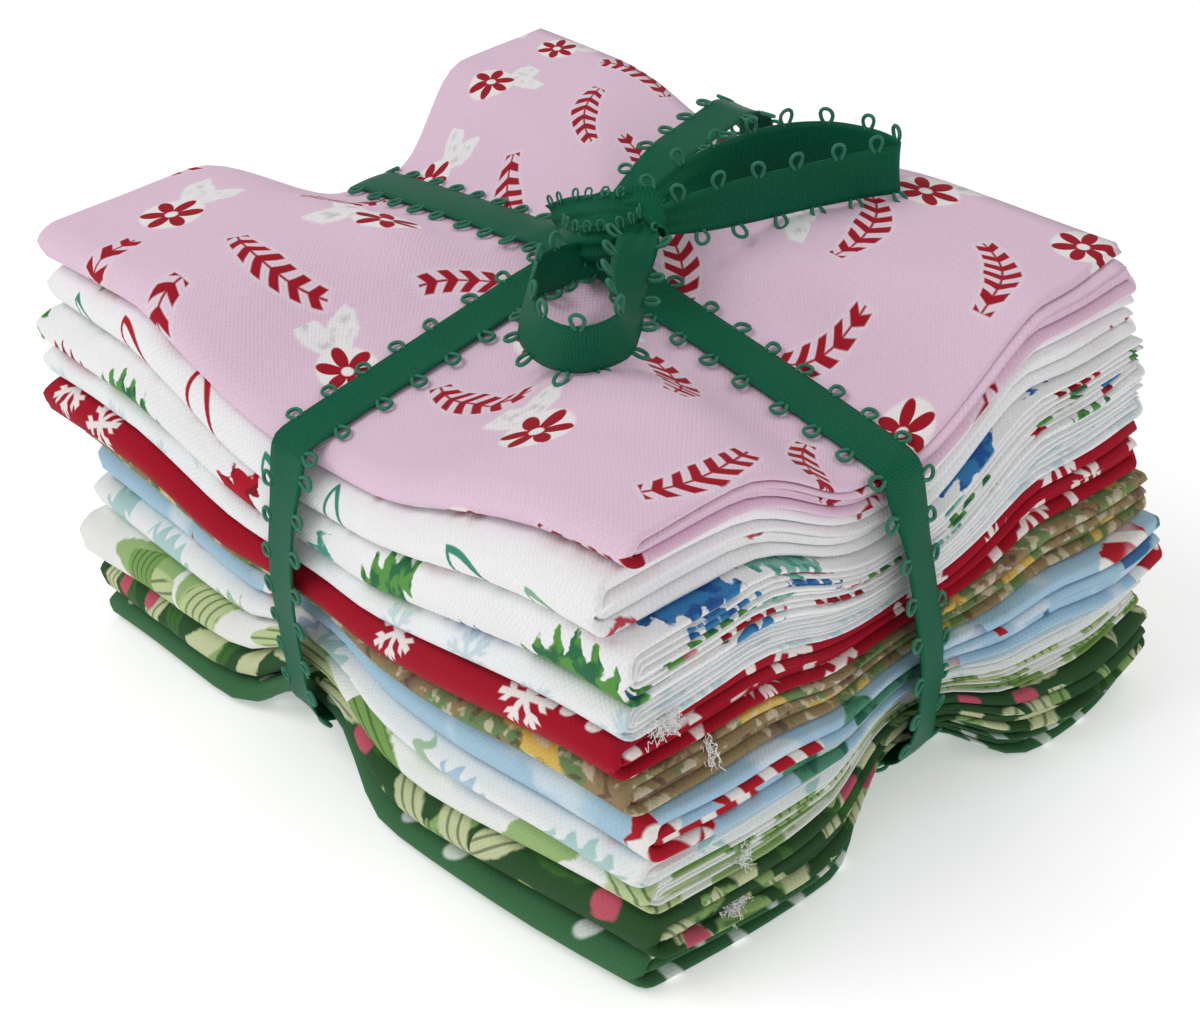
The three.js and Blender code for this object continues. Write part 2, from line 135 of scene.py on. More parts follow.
@dataclass(frozen=True)
class PressedStack:
    """The stack of folded cloths as the tight ribbon leaves it."""

    west: Side = Side(64.5, 7, 6, 2.8, 4.5, 8, 6, 26, 26, 1, 1.5)
    east: Side = Side(58.5, 8, 6, 4, 6, 4.5, 5, 32, 26, 2.6, 4.6)
    south: Side = Side(59, 8.5, 4.5, 3.3, 4.5, -7, -11, 38, 60, 0.4, 3.4)
    north: Side = Side(73, 6, 3, 2.5, 3, -14, -10, 36, 36, 1, 1)
    corners: tuple[float, float, float, float] = (76.0, 75.5, 76.5, 78.0)
    centre_top: float = 73.5
    centre_arch: float = 3.7
    centre_shift: tuple[float, float] = (0.0, 2.0)
    centre_spread: float = 12.0
    arch_spread: tuple[float, float] = (9.0, 16.0)
    arch_fade: float = 1.7
    inset_spread: tuple[float, float] = (19.0, 24.0)
    middle_spread: float = 22.0
    creases: tuple[Crease, ...] = ()

    @staticmethod
    def over_corners(values: tuple[float, float, float, float], x: np.ndarray, y: np.ndarray) -> np.ndarray:
        """Blends the left, front, right and back corner's values over the plan."""
        u = np.clip(0.5 + x / (2 * HALF_X), 0.0, 1.0)
        v = np.clip(0.5 + y / (2 * HALF_Y), 0.0, 1.0)
        left, front, right, back = values
        return blend(blend(left, front, u), blend(back, right, u), v)

    def _x_side(self, x: np.ndarray, name: str) -> np.ndarray:
        """Takes a value of the west or east side."""
        return np.where(x < 0, getattr(self.west, name), getattr(self.east, name))

    def _y_side(self, y: np.ndarray, name: str) -> np.ndarray:
        """Takes a value of the south or north side."""
        return np.where(y < 0, getattr(self.south, name), getattr(self.north, name))

    @staticmethod
    def pressed(distance: np.ndarray, width: float | np.ndarray) -> np.ndarray:
        """Says how strongly the ribbon presses at a distance from its line."""
        return 1.0 - smoothstep(np.abs(distance), PRESSED_HALF, PRESSED_HALF + width)

    @staticmethod
    def _along(x: np.ndarray, y: np.ndarray) -> tuple[np.ndarray, np.ndarray]:
        """Gives how far along each ribbon line a place is, from 0 to 1."""
        return np.minimum(np.abs(x) / HALF_X, 1.0), np.minimum(np.abs(y) / HALF_Y, 1.0)

    def top(self, x: np.ndarray, y: np.ndarray) -> np.ndarray:
        """Gives the height of the top of the stack."""
        along_x, along_y = self._along(x, y)
        free = self.over_corners(self.corners, x, y)
        short_spread = np.where(x < 0, self._y_side(y, "spread_before"), self._y_side(y, "spread_after"))
        long_spread = np.where(y < 0, self._x_side(x, "spread_before"), self._x_side(x, "spread_after"))
        short = self.pressed(x, blend(self.centre_spread, short_spread, along_y))
        long = self.pressed(y, blend(self.centre_spread, long_spread, along_x))
        short_drop = free - blend(self.centre_top, self._y_side(y, "top"), along_y)
        long_drop = free - blend(self.centre_top, self._x_side(x, "top"), along_x)
        return free - short_drop * short - long_drop * long + (free - self.centre_top) * short * long

    def under(self, x: np.ndarray, y: np.ndarray) -> np.ndarray:
        """Gives the height of the stack's underside."""
        along_x, along_y = self._along(x, y)
        short = self.pressed(x, blend(*self.arch_spread, along_y))
        long = self.pressed(y, blend(*self.arch_spread, along_x))
        short_arch = blend(self.centre_arch, self._y_side(y, "arch"), along_y)
        long_arch = blend(self.centre_arch, self._x_side(x, "arch"), along_x)
        return short_arch * short + long_arch * long - self.centre_arch * short * long

    @staticmethod
    def _pull(
        pick: Callable[[str], np.ndarray], across: np.ndarray, side_ward: np.ndarray, level: np.ndarray,
        spread: np.ndarray,
    ) -> np.ndarray:
        """Works out how far a side is pulled in, less its belly between ribbon and corner."""
        middle = pick("inset_middle")
        upper = np.maximum(0.0, 2 * level - 1) ** 2
        lower = np.maximum(0.0, 1 - 2 * level) ** 2
        inset = middle + (pick("inset_top") - middle) * upper + (pick("inset_bottom") - middle) * lower
        belly = np.where(side_ward < 0, pick("belly_before"), pick("belly_after"))
        swell = belly * np.sin(math.pi * np.clip(np.abs(side_ward), 0.0, 1.0)) * (1 - level) ** 2
        return inset * PressedStack.pressed(across, spread) - swell

    def place(self, x: np.ndarray, y: np.ndarray, level: np.ndarray) -> np.ndarray:
        """Maps nominal places and shares of the stack's height to real places.

        Args:
            x: Nominal places along X, with the ribbon line at zero.
            y: Nominal places along Y, with the ribbon line at zero.
            level: Shares of the stack's height, 0 at the bottom and 1 at the top.

        Returns:
            An array of the places' three coordinates, in millimetres.
        """
        along_x, along_y = self._along(x, y)
        shift_x = blend(self._y_side(y, "shift_low"), self._y_side(y, "shift_top"), level)
        shift_y = blend(self._x_side(x, "shift_low"), self._x_side(x, "shift_top"), level)
        lean_x = blend(self.centre_shift[0], shift_x, along_y) * (1 - along_x**2)
        lean_y = blend(self.centre_shift[1], shift_y, along_x) * (1 - along_y**2)
        spread = blend(*self.inset_spread, level) + self.middle_spread * 4 * level * (1 - level)
        pull_x = self._pull(lambda name: self._x_side(x, name), y, y / HALF_Y, level, spread)
        pull_y = self._pull(lambda name: self._y_side(y, name), x, x / HALF_X, level, spread)
        real_x = x + lean_x - np.sign(x) * pull_x * np.abs(x / HALF_X) ** 3
        real_y = y + lean_y - np.sign(y) * pull_y * np.abs(y / HALF_Y) ** 3
        height = self.under(x, y) * (1 - level) ** self.arch_fade + self.top(x, y) * level
        for crease in self.creases:
            height = height + crease.height(x, y) * level**5
        return np.stack(np.broadcast_arrays(real_x, real_y, height), axis=-1)


# Mesh making


@dataclass
class Surface:
    """Points, faces and flat cloth coordinates gathered for one mesh."""

    points: list[np.ndarray]
    faces: list[np.ndarray]
    flats: list[np.ndarray]
    count: int = 0

    @classmethod
    def empty(cls) -> "Surface":
        """Starts with nothing gathered."""
        return cls([], [], [])

    def add(self, points: np.ndarray, faces: np.ndarray, flats: np.ndarray) -> None:
        """Adds a closed shape.

        Args:
            points: Its points, in millimetres.
            faces: Its four-sided faces as point numbers.
            flats: Each point's place on the flat cloth, in millimetres.
        """
        corners = points[faces]
        crossed = np.cross(corners[:, 1] - corners[:, 0], corners[:, 2] - corners[:, 0])
        crossed += np.cross(corners[:, 2] - corners[:, 0], corners[:, 3] - corners[:, 0])
        inside_out = np.sum(corners.mean(axis=1) * crossed) < 0
        self.points.append(points)
        self.faces.append((faces[:, ::-1] if inside_out else faces) + self.count)
        self.flats.append(flats)
        self.count += len(points)

    def piece(self, name: str, finish: "Finish", *replaced: str) -> bpy.types.Object:
        """Makes the gathered shapes into one piece of the bundle.

        Args:
            name: The piece's name.
            finish: The finish it wears, which knows its record slot.
            replaced: Names of the solids it stands for.

        Returns:
            The new object, at the origin and riding on the bundle.
        """
        points = (np.concatenate(self.points) + [*FROM_ORIGIN, 0.0]) * METRES
        faces = np.concatenate(self.faces)
        flats = np.concatenate(self.flats) * METRES
        mesh = bpy.data.meshes.new(name)
        mesh.vertices.add(len(points))
        mesh.vertices.foreach_set("co", points.astype(np.float32).ravel())
        mesh.loops.add(faces.size)
        mesh.loops.foreach_set("vertex_index", faces.astype(np.int32).ravel())
        mesh.polygons.add(len(faces))
        mesh.polygons.foreach_set("loop_start", np.arange(0, faces.size, 4, dtype=np.int32))
        mesh.polygons.foreach_set("use_smooth", np.ones(len(faces), dtype=bool))
        mesh.update(calc_edges=True)
        layer = mesh.uv_layers.new(name="cloth")
        layer.data.foreach_set("uv", flats[faces.ravel()].astype(np.float32).ravel())
        mesh.validate()
        mesh.materials.append(finish.material())
        made = bpy.data.objects.new(name, mesh)
        bpy.context.collection.objects.link(made)
        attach(made, "root")
        if replaced:
            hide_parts(*replaced)
        log.info("%s: %d faces", name, len(faces))
        return made


def sheet_faces(rows: int, columns: int, joined: bool = False) -> np.ndarray:
    """Numbers the faces of a thin sheet held as two grids of points, one for each side.

    Args:
        rows: Points along the first direction.
        columns: Points along the second direction.
        joined: Whether the last row meets the first.

    Returns:
        Four point numbers for each face, sides and rims together.
    """
    number = np.arange(2 * rows * columns).reshape(2, rows, columns)
    if joined:
        number = np.concatenate([number, number[:, :1]], axis=1)

    def quads(grid: np.ndarray) -> np.ndarray:
        """Turns a grid of point numbers into faces."""
        parts = (grid[:-1, :-1], grid[1:, :-1], grid[1:, 1:], grid[:-1, 1:])
        return np.stack(parts, axis=-1).reshape(-1, 4)

    rims = [number[:, :, 0].T[:, ::-1], number[:, :, -1].T]
    if not joined:
        rims += [number[:, 0, :].T, number[:, -1, :].T[:, ::-1]]
    return np.concatenate([quads(number[0]), quads(number[1])[:, ::-1], *[quads(rim) for rim in rims]])


def add_thread(surface: Surface, line: np.ndarray, side: np.ndarray, away: np.ndarray, radius: float,
               faces: int, flats: np.ndarray) -> None:
    """Adds a round thread with closed ends along a line.

    Args:
        surface: The surface that takes it.
        line: The thread's centre line.
        side: The direction to one side at each point.
        away: The direction square to it, at each point or one for all.
        radius: Half the thread's thickness.
        faces: Faces round the thread, an even number.
        flats: The place on the flat cloth at each point of the line.
    """
    turn = np.arange(faces) * math.tau / faces
    square = np.broadcast_to(away, side.shape)
    rings = line[:, None] + radius * (
        np.cos(turn)[None, :, None] * side[:, None] + np.sin(turn)[None, :, None] * square[:, None])
    number = np.arange(len(line) * faces).reshape(len(line), faces)
    wrapped = np.concatenate([number, number[:, :1]], axis=1)
    quads = np.stack([wrapped[:-1, :-1], wrapped[:-1, 1:], wrapped[1:, 1:], wrapped[1:, :-1]], axis=-1)
    fans = [[0, corner, corner + 1, corner + 2] for corner in range(1, faces - 1, 2)]
    caps = [number[0][fan[::-1]] for fan in fans] + [number[-1][fan] for fan in fans]
    spread = np.broadcast_to(flats[:, None], (len(line), faces, 2)).reshape(-1, 2)
    surface.add(rings.reshape(-1, 3), np.concatenate([quads.reshape(-1, 4), np.array(caps)]), spread)


# The folded cloths


@dataclass
class FoldPath:
    """A fold's path in one plane: places, right-hand normals and flat lengths."""

    places: list[tuple[float, float]]
    normals: list[tuple[float, float]]

    crowding = 0.4

    @classmethod
    def begin(cls) -> "FoldPath":
        """Starts a path with nothing on it."""
        return cls([], [])

    def run(self, start: float, stop: float, height: float, cells: int) -> None:
        """Adds a level run, with closer points near its middle, where the ribbon presses."""
        facing = 1.0 if stop < start else -1.0
        for step in range(cells + 1):
            even = step / cells
            share = even + self.crowding * math.sin(math.tau * even) / math.tau
            self.places.append((start + (stop - start) * share, height))
            self.normals.append((0.0, facing))

    def turn(
        self, centre: tuple[float, float], radius: float, start: float, stop: float, cells: int,
    ) -> None:
        """Adds a round fold about a centre, between two angles in degrees, without its end points."""
        facing = 1.0 if stop > start else -1.0
        for step in range(1, cells):
            angle = math.radians(start + (stop - start) * step / cells)
            self.places.append((centre[0] + radius * math.cos(angle), centre[1] + radius * math.sin(angle)))
            self.normals.append((facing * math.cos(angle), facing * math.sin(angle)))

    def arrays(self, cut: float) -> tuple[np.ndarray, np.ndarray, np.ndarray]:
        """Gives the places, the normals, and the flat place of each point on a cut of this length."""
        places = np.array(self.places)
        steps = np.hypot(*np.diff(places, axis=0).T)
        flat = np.concatenate([[0.0], np.cumsum(steps)])
        return places, np.array(self.normals), flat * cut / flat[-1]


class RawEnd(Enum):
    """The side of the bundle where a cloth's cut ends come."""

    EAST = -1.0
    WEST = 1.0


@dataclass(frozen=True)
class Folding:
    """How each cloth is folded: plies across a band, bands up the fabric and the cloth's thickness.

    The free values say how far a raw edge stays back from the fold line.
    """

    ply: float = 0.355
    band: float = 1.605
    cloth: float = 0.26
    free_upper: float = 1.0
    free_lower: float = 3.0
    free_inside: float = 0.9
    free_outside: float = 0.3
    order_lift: float = 0.72

    def across(self, cells: int) -> FoldPath:
        """Folds the long way: in half and in half again, a stack of four plies."""
        path = FoldPath.begin()
        turn_at = HALF_X - 1.5 * self.ply - self.cloth / 2
        near_turn = -HALF_X + 0.5 * self.ply + self.cloth / 2
        path.run(-HALF_X + self.free_inside, turn_at, self.ply, cells)
        path.turn((turn_at, 1.5 * self.ply), 0.5 * self.ply, -90, 90, 4)
        path.run(turn_at, near_turn, 2 * self.ply, cells)
        path.turn((near_turn, 2.5 * self.ply), 0.5 * self.ply, 270, 90, 4)
        path.run(near_turn, turn_at, 3 * self.ply, cells)
        path.turn((turn_at, 1.5 * self.ply), 1.5 * self.ply, 90, -90, 6)
        path.run(turn_at, -HALF_X + self.free_outside, 0.0, cells)
        return path

    def upward(self, cells: int) -> FoldPath:
        """Folds the short way: four bands, the outer fold at the front closing over the inner one."""
        path = FoldPath.begin()
        heights = [self.order_lift + order * self.band for order in range(4)]
        middle = (heights[0] + heights[3]) / 2
        outer = (heights[3] - heights[0]) / 2
        inner = (heights[2] - heights[1]) / 2
        reach = 1.5 * self.ply + self.cloth / 2
        front = -HALF_Y + outer + reach
        back = HALF_Y - inner - reach
        path.run(HALF_Y - self.free_upper, front, heights[3], cells)
        path.turn((front, middle), outer, 90, 270, 12)
        path.run(front, back, heights[0], cells)
        path.turn((back, (heights[0] + heights[1]) / 2), inner, -90, 90, 6)
        path.run(back, front, heights[1], cells)
        path.turn((front, middle), inner, 270, 90, 6)
        path.run(front, HALF_Y - self.free_lower, heights[2], cells)
        return path


@dataclass(frozen=True)
class FatQuarter:
    """One folded fat quarter and its place in the stack.

    heights are its share of the stack at the left, front, right and back corner; the reaches are how
    far its edges stand past the nominal fold lines; recess draws the upper or lower bands in at the
    right corner.
    """

    name: str
    finish: "Finish"
    heights: tuple[float, float, float, float]
    west: float
    east_front: float
    east_right: float
    south_left: float
    south_front: float
    north: float
    raw_end: RawEnd = RawEnd.WEST
    recess: tuple[float, float, float, float] = (0.0, 0.0, 0.0, 0.0)
    cells: tuple[int, int] = (25, 32)

    stagger = (0.0, -1.3, 0.5, -0.5)
    ramp_x = 44.0
    ramp_x_power = 1.3
    ramp_y = 36.0
    ramp_y_end = 2.5
    share_wave = (0.07, 75.0)
    share_seed = 40
    side_wave = (0.55, 9.0, 46.0)
    front_wave = (0.5, 5.0, 60.0)
    swell_wave = (0.055, 52.0)

    def levels(
        self, stack: PressedStack, pile: "list[FatQuarter]", x: np.ndarray, y: np.ndarray,
    ) -> tuple[np.ndarray, np.ndarray]:
        """Gives the stack levels where this cloth starts and ends at plan places."""
        start = np.zeros(x.shape)
        whole = np.zeros(x.shape)
        mine = pile.index(self)
        height, length = self.share_wave
        for order, cloth in enumerate(pile):
            share = stack.over_corners(cloth.heights, x, y)
            share = share * (1.0 + height * ripple(x, y, self.share_seed + order, length))
            whole = whole + share
            if order < mine:
                start = start + share
            if order == mine:
                own = share
        gap = CLOTH_GAP / 2 / (stack.top(x, y) - stack.under(x, y))
        low = start / whole + (gap if mine > 0 else 0.0)
        high = (start + own) / whole - (gap if mine < len(pile) - 1 else 0.0)
        return low, high

    def banded(self, values: tuple[float, ...], up: np.ndarray, folding: Folding) -> np.ndarray:
        """Blends a value given for each of the four bands by the height in the cloth."""
        order = np.clip((up - folding.order_lift) / folding.band, 0.0, 3.0)
        return np.interp(order, range(4), values)

    def shaped(self, stack: PressedStack, pile: "list[FatQuarter]", folding: Folding,
               x: np.ndarray, y: np.ndarray, up: np.ndarray) -> np.ndarray:
        """Places points of the neat fold in the pressed, uneven stack.

        Args:
            stack: The pressed stack.
            pile: All the cloths, bottom to top.
            folding: The neat fold's sizes.
            x: Neat places along X.
            y: Neat places along Y.
            up: Neat heights above the cloth's underside.

        Returns:
            The real places, in millimetres.
        """
        seed = 7 * pile.index(self)
        back_ward = np.clip(0.5 + y / (2 * HALF_Y), 0.0, 1.0)
        front_ward = np.clip(0.5 + x / (2 * HALF_X), 0.0, 1.0)
        out_x = np.where(x < 0, self.west, blend(self.east_front, self.east_right, back_ward))
        out_x = out_x + self.banded(self.stagger, up, folding)
        out_x = out_x - np.where(x < 0, 0.0, self.banded(self.recess, up, folding) * back_ward**2)
        height, rate, length = self.side_wave
        out_x = out_x + height * ripple(y, up * rate, seed + 1, length)
        ramp_x = np.clip((np.abs(x) - self.ramp_x) / (HALF_X - self.ramp_x), 0.0, 1.0) ** self.ramp_x_power
        out_y = np.where(y < 0, blend(self.south_left, self.south_front, front_ward), self.north)
        height, rate, length = self.front_wave
        out_y = out_y + height * ripple(x, up * rate, seed + 2, length)
        ramp_y = smoothstep(np.abs(y), self.ramp_y, HALF_Y - self.ramp_y_end)
        moved_x = x + np.sign(x) * out_x * ramp_x
        moved_y = y + np.sign(y) * out_y * ramp_y
        neat = np.clip(up / FOLDED, 0.0, 1.0)
        height, length = self.swell_wave
        swell = height * np.sin(math.pi * neat) * ripple(x, y, seed + 3, length)
        low, high = self.levels(stack, pile, moved_x, moved_y)
        return stack.place(moved_x, moved_y, blend(low, high, neat + swell))

    def build(self, stack: PressedStack, pile: "list[FatQuarter]", folding: Folding) -> None:
        """Makes the cloth as one folded sheet of its real cut size.

        Args:
            stack: The pressed stack.
            pile: All the cloths, bottom to top.
            folding: The fold's sizes.
        """
        across, across_normal, long_flat = folding.across(self.cells[0]).arrays(CUT_LONG)
        upward, upward_normal, short_flat = folding.upward(self.cells[1]).arrays(CUT_SHORT)
        sides = []
        for side in (0.5, -0.5):
            offset = side * folding.cloth
            x = self.raw_end.value * (across[:, 0] + offset * across_normal[:, 0])
            ply = across[:, 1] + offset * across_normal[:, 1] - 1.5 * folding.ply
            y = upward[None, :, 0] + ply[:, None] * upward_normal[None, :, 0]
            up = upward[None, :, 1] + ply[:, None] * upward_normal[None, :, 1]
            x = np.broadcast_to(x[:, None], y.shape)
            sides.append(self.shaped(stack, pile, folding, x, y, up))
        rows, columns = sides[0].shape[:2]
        flats = np.stack(np.meshgrid(long_flat, short_flat, indexing="ij"), axis=-1).reshape(-1, 2)
        surface = Surface.empty()
        points = np.stack(sides).reshape(-1, 3)
        surface.add(points, sheet_faces(rows, columns), np.concatenate([flats, flats]))
        made = surface.piece(self.name + "_cloth", self.finish, self.name)


# Finishes


def colour(code: int) -> tuple[float, float, float, float]:
    """Turns a screen colour such as 0xE3BFD3 into the shader's linear colour."""
    parts = [((code >> shift) & 255) / 255 for shift in (16, 8, 0)]
    linear = [part / 12.92 if part <= 0.04045 else ((part + 0.055) / 1.055) ** 2.4 for part in parts]
    return (linear[0], linear[1], linear[2], 1.0)


class Signal:
    """A shader value that adds the Math node for each sum it takes part in."""

    def __init__(self, tree: bpy.types.NodeTree, socket: bpy.types.NodeSocket) -> None:
        self.tree = tree
        self.socket = socket

    def math(self, kind: str, *others: "Signal | float") -> "Signal":
        """Adds one Math node that takes this value first."""
        node = self.tree.nodes.new("ShaderNodeMath")
        node.operation = kind
        for slot, value in zip(node.inputs, (self, *others)):
            feed(self.tree, value, slot)
        return Signal(self.tree, node.outputs[0])

    def __add__(self, other: "Signal | float") -> "Signal":
        """Adds."""
        return self.math("ADD", other)

    def __sub__(self, other: "Signal | float") -> "Signal":
        """Subtracts."""
        return self.math("SUBTRACT", other)

    def __mul__(self, other: "Signal | float") -> "Signal":
        """Multiplies."""
        return self.math("MULTIPLY", other)

    def __truediv__(self, other: "Signal | float") -> "Signal":
        """Divides."""
        return self.math("DIVIDE", other)

    def flipped(self) -> "Signal":
        """Gives one less this value."""
        return (self * -1.0) + 1.0

    def soft(self, width: float = 0.2) -> "Signal":
        """Turns a depth in millimetres into a mask with a soft edge."""
        return self.eased(-width, width)

    def eased(self, low: float, high: float) -> "Signal":
        """Eases from 0 at low to 1 at high."""
        node = self.tree.nodes.new("ShaderNodeMapRange")
        node.interpolation_type = "SMOOTHSTEP"
        feed(self.tree, self, node.inputs["Value"])
        node.inputs["From Min"].default_value = low
        node.inputs["From Max"].default_value = high
        return Signal(self.tree, node.outputs["Result"])

    def between(self, low: float, high: float) -> "Signal":
        """Gives a mask of the values from low to high."""
        return self.math("GREATER_THAN", low) * self.math("LESS_THAN", high)


def feed(tree: bpy.types.NodeTree, value: "Signal | float | tuple", slot: bpy.types.NodeSocket) -> None:
    """Links a signal to a socket, or sets the socket's own value."""
    if isinstance(value, Signal):
        tree.links.new(value.socket, slot)
    else:
        slot.default_value = value


def noise(tree: bpy.types.NodeTree, vector: Signal, rate: float, detail: float = 2.0) -> Signal:
    """Adds a noise of a given rate, per unit of the vector."""
    node = tree.nodes.new("ShaderNodeTexNoise")
    node.noise_dimensions = "2D"
    feed(tree, vector, node.inputs["Vector"])
    node.inputs["Scale"].default_value = rate
    node.inputs["Detail"].default_value = detail
    return Signal(tree, node.outputs["Fac"])


def split(tree: bpy.types.NodeTree, vector: Signal) -> tuple[Signal, Signal]:
    """Separates a vector's first two parts."""
    node = tree.nodes.new("ShaderNodeSeparateXYZ")
    feed(tree, vector, node.inputs[0])
    return Signal(tree, node.outputs[0]), Signal(tree, node.outputs[1])


def effect_group(
    name: str, inputs: dict[str, float | tuple], outputs: list[str], build: Callable,
) -> Callable:
    """Makes a shader node group once and gives back a way to place it.

    Args:
        name: The group's name.
        inputs: Its inputs and their usual values; a tuple is a vector.
        outputs: Its outputs, all single values.
        build: Takes the group's tree and its input signals, and returns its output signals.

    Returns:
        A function of a tree and the inputs' values that places the group and returns its outputs.
    """
    group = bpy.data.node_groups.new(name, "ShaderNodeTree")
    for label, value in inputs.items():
        kind = "NodeSocketVector" if isinstance(value, tuple) else "NodeSocketFloat"
        group.interface.new_socket(label, in_out="INPUT", socket_type=kind).default_value = value
    for label in outputs:
        group.interface.new_socket(label, in_out="OUTPUT", socket_type="NodeSocketFloat")
    entry = group.nodes.new("NodeGroupInput")
    leaving = group.nodes.new("NodeGroupOutput")
    results = build(group, *[Signal(group, entry.outputs[label]) for label in inputs])
    for label, result in zip(outputs, results):
        group.links.new(result.socket, leaving.inputs[label])

    def placed(tree: bpy.types.NodeTree, *values: Signal | float) -> list[Signal]:
        """Places the group in a tree, with values for its first inputs."""
        node = tree.nodes.new("ShaderNodeGroup")
        node.node_tree = group
        for slot, value in zip(node.inputs, values):
            feed(tree, value, slot)
        return [Signal(tree, node.outputs[label]) for label in outputs]

    return placed


def _scatter(tree: bpy.types.NodeTree, cloth: Signal, pitch: Signal, seed: Signal, jitter: Signal,
             turn: Signal) -> list[Signal]:
    """Builds the scatter: places about one pitch apart, each with its own turn and chances."""
    across, along = split(tree, cloth)
    combine = tree.nodes.new("ShaderNodeCombineXYZ")
    feed(tree, across / pitch + seed, combine.inputs[0])
    feed(tree, along / pitch + seed * 1.7, combine.inputs[1])
    cells = tree.nodes.new("ShaderNodeTexVoronoi")
    cells.voronoi_dimensions = "2D"
    cells.inputs["Scale"].default_value = 1.0
    tree.links.new(combine.outputs[0], cells.inputs["Vector"])
    feed(tree, jitter, cells.inputs["Randomness"])
    away = tree.nodes.new("ShaderNodeVectorMath")
    away.operation = "SUBTRACT"
    tree.links.new(combine.outputs[0], away.inputs[0])
    tree.links.new(cells.outputs["Position"], away.inputs[1])
    parts = tree.nodes.new("ShaderNodeSeparateColor")
    tree.links.new(cells.outputs["Color"], parts.inputs[0])
    spin, chance, tint = [Signal(tree, parts.outputs[order]) for order in range(3)]
    rotate = tree.nodes.new("ShaderNodeVectorRotate")
    rotate.rotation_type = "Z_AXIS"
    tree.links.new(away.outputs[0], rotate.inputs["Vector"])
    feed(tree, spin * turn * math.tau, rotate.inputs["Angle"])
    near_x, near_y = split(tree, Signal(tree, rotate.outputs[0]))
    return [near_x * pitch, near_y * pitch, chance, tint]


def _petals(tree: bpy.types.NodeTree, across: Signal, along: Signal, count: Signal, inner: Signal,
            outer: Signal) -> list[Signal]:
    """Builds a flower or star: how deep inside its outline a place lies."""
    radius = (across * across + along * along).math("SQRT")
    angle = along.math("ARCTAN2", across)
    lobe = (angle * count * 0.5).math("COSINE").math("ABSOLUTE")
    return [inner + (outer - inner) * lobe - radius, radius]


def _leaf(
    tree: bpy.types.NodeTree, across: Signal, along: Signal, length: Signal, width: Signal,
) -> list[Signal]:
    """Builds a pointed leaf along its second direction: how deep inside it a place lies."""
    share = along * 2.0 / length
    return [(share * share).flipped() * width * 0.5 - across.math("ABSOLUTE")]


def _twig(tree: bpy.types.NodeTree, across: Signal, along: Signal, radius: Signal, width: Signal,
          pairs: Signal) -> list[Signal]:
    """Builds a gently curved sprig: a stem with small slanting leaves in pairs, narrower at its ends."""
    away = (across * across + along * along).math("SQRT")
    angle = along.math("ARCTAN2", across)
    off = (away - radius).math("ABSOLUTE")
    reach = angle.math("ABSOLUTE") * radius
    ring = width * 0.5 - off - reach * (width * 0.022)
    slanted = (angle / math.tau) * pairs + off * 0.2
    middle = (slanted.math("FRACT") - 0.5).math("ABSOLUTE")
    gap = (middle * -1.0 + 0.27) * (radius * math.tau / pairs)
    leaves = ring.math("MINIMUM", gap)
    stem = off * -1.0 + 0.22
    return [leaves.math("MAXIMUM", stem).math("MINIMUM", reach * -1.0 + 10.5)]


def _snow(
    tree: bpy.types.NodeTree, across: Signal, along: Signal, size: Signal, stroke: Signal,
) -> list[Signal]:
    """Builds a six-armed snowflake with one pair of barbs on each arm."""
    radius = (across * across + along * along).math("SQRT")
    turned = along.math("ARCTAN2", across) / (math.tau / 6)
    folded = ((turned.math("FRACT") - 0.5).math("ABSOLUTE") - 0.5) * (math.tau / 6)
    out = radius * folded.math("COSINE")
    off = (radius * folded.math("SINE")).math("ABSOLUTE")
    arm = stroke * 0.5 - off
    barb = stroke * 0.45 - (off - (out - size * 0.5)).math("ABSOLUTE") * 0.75
    barb = barb.math("MINIMUM", size * 0.28 - off)
    return [arm.math("MAXIMUM", barb).math("MINIMUM", size - out)]


def _weave(tree: bpy.types.NodeTree, cloth: Signal, pitch: Signal) -> list[Signal]:
    """Builds a plain weave: thread height, and a shade that is the threads' own uneven tone with a faint
    painted highlight where the crossings rise.
    """
    across, along = split(tree, cloth)
    bump = (across * math.pi / pitch).math("SINE") * (along * math.pi / pitch).math("SINE")
    slubs = noise(tree, cloth, 1.6, 3.0)
    broad = noise(tree, cloth, 0.05, 2.0)
    # The bump term is a painted highlight on the raised crossings; the slub and broad noise are the
    # threads' own uneven tone.
    shade = bump * 0.045 + (slubs - 0.5) * 0.10 + (broad - 0.5) * 0.05 + 0.985
    return [bump * 0.5 + slubs * 0.8, shade]


PLANE = (0.0, 0.0, 0.0)
scatter = effect_group(
    "motif scatter", {"Cloth": PLANE, "Pitch": 20.0, "Seed": 0.0, "Jitter": 0.5, "Turn": 1.0},
    ["Across", "Along", "Chance", "Tint"], _scatter)
petals = effect_group(
    "petal outline", {"Across": 0.0, "Along": 0.0, "Count": 6.0, "Inner": 2.0, "Outer": 5.0},
    ["Depth", "Radius"], _petals)
leaf = effect_group(
    "leaf outline", {"Across": 0.0, "Along": 0.0, "Length": 10.0, "Width": 4.0}, ["Depth"], _leaf)
twig = effect_group(
    "leafy sprig", {"Across": 0.0, "Along": 0.0, "Radius": 8.0, "Width": 2.5, "Pairs": 14.0},
    ["Depth"], _twig)
snow = effect_group(
    "snowflake", {"Across": 0.0, "Along": 0.0, "Size": 4.0, "Stroke": 0.7}, ["Depth"], _snow)
weave = effect_group("plain weave", {"Cloth": PLANE, "Pitch": 0.42}, ["Height", "Shade"], _weave)


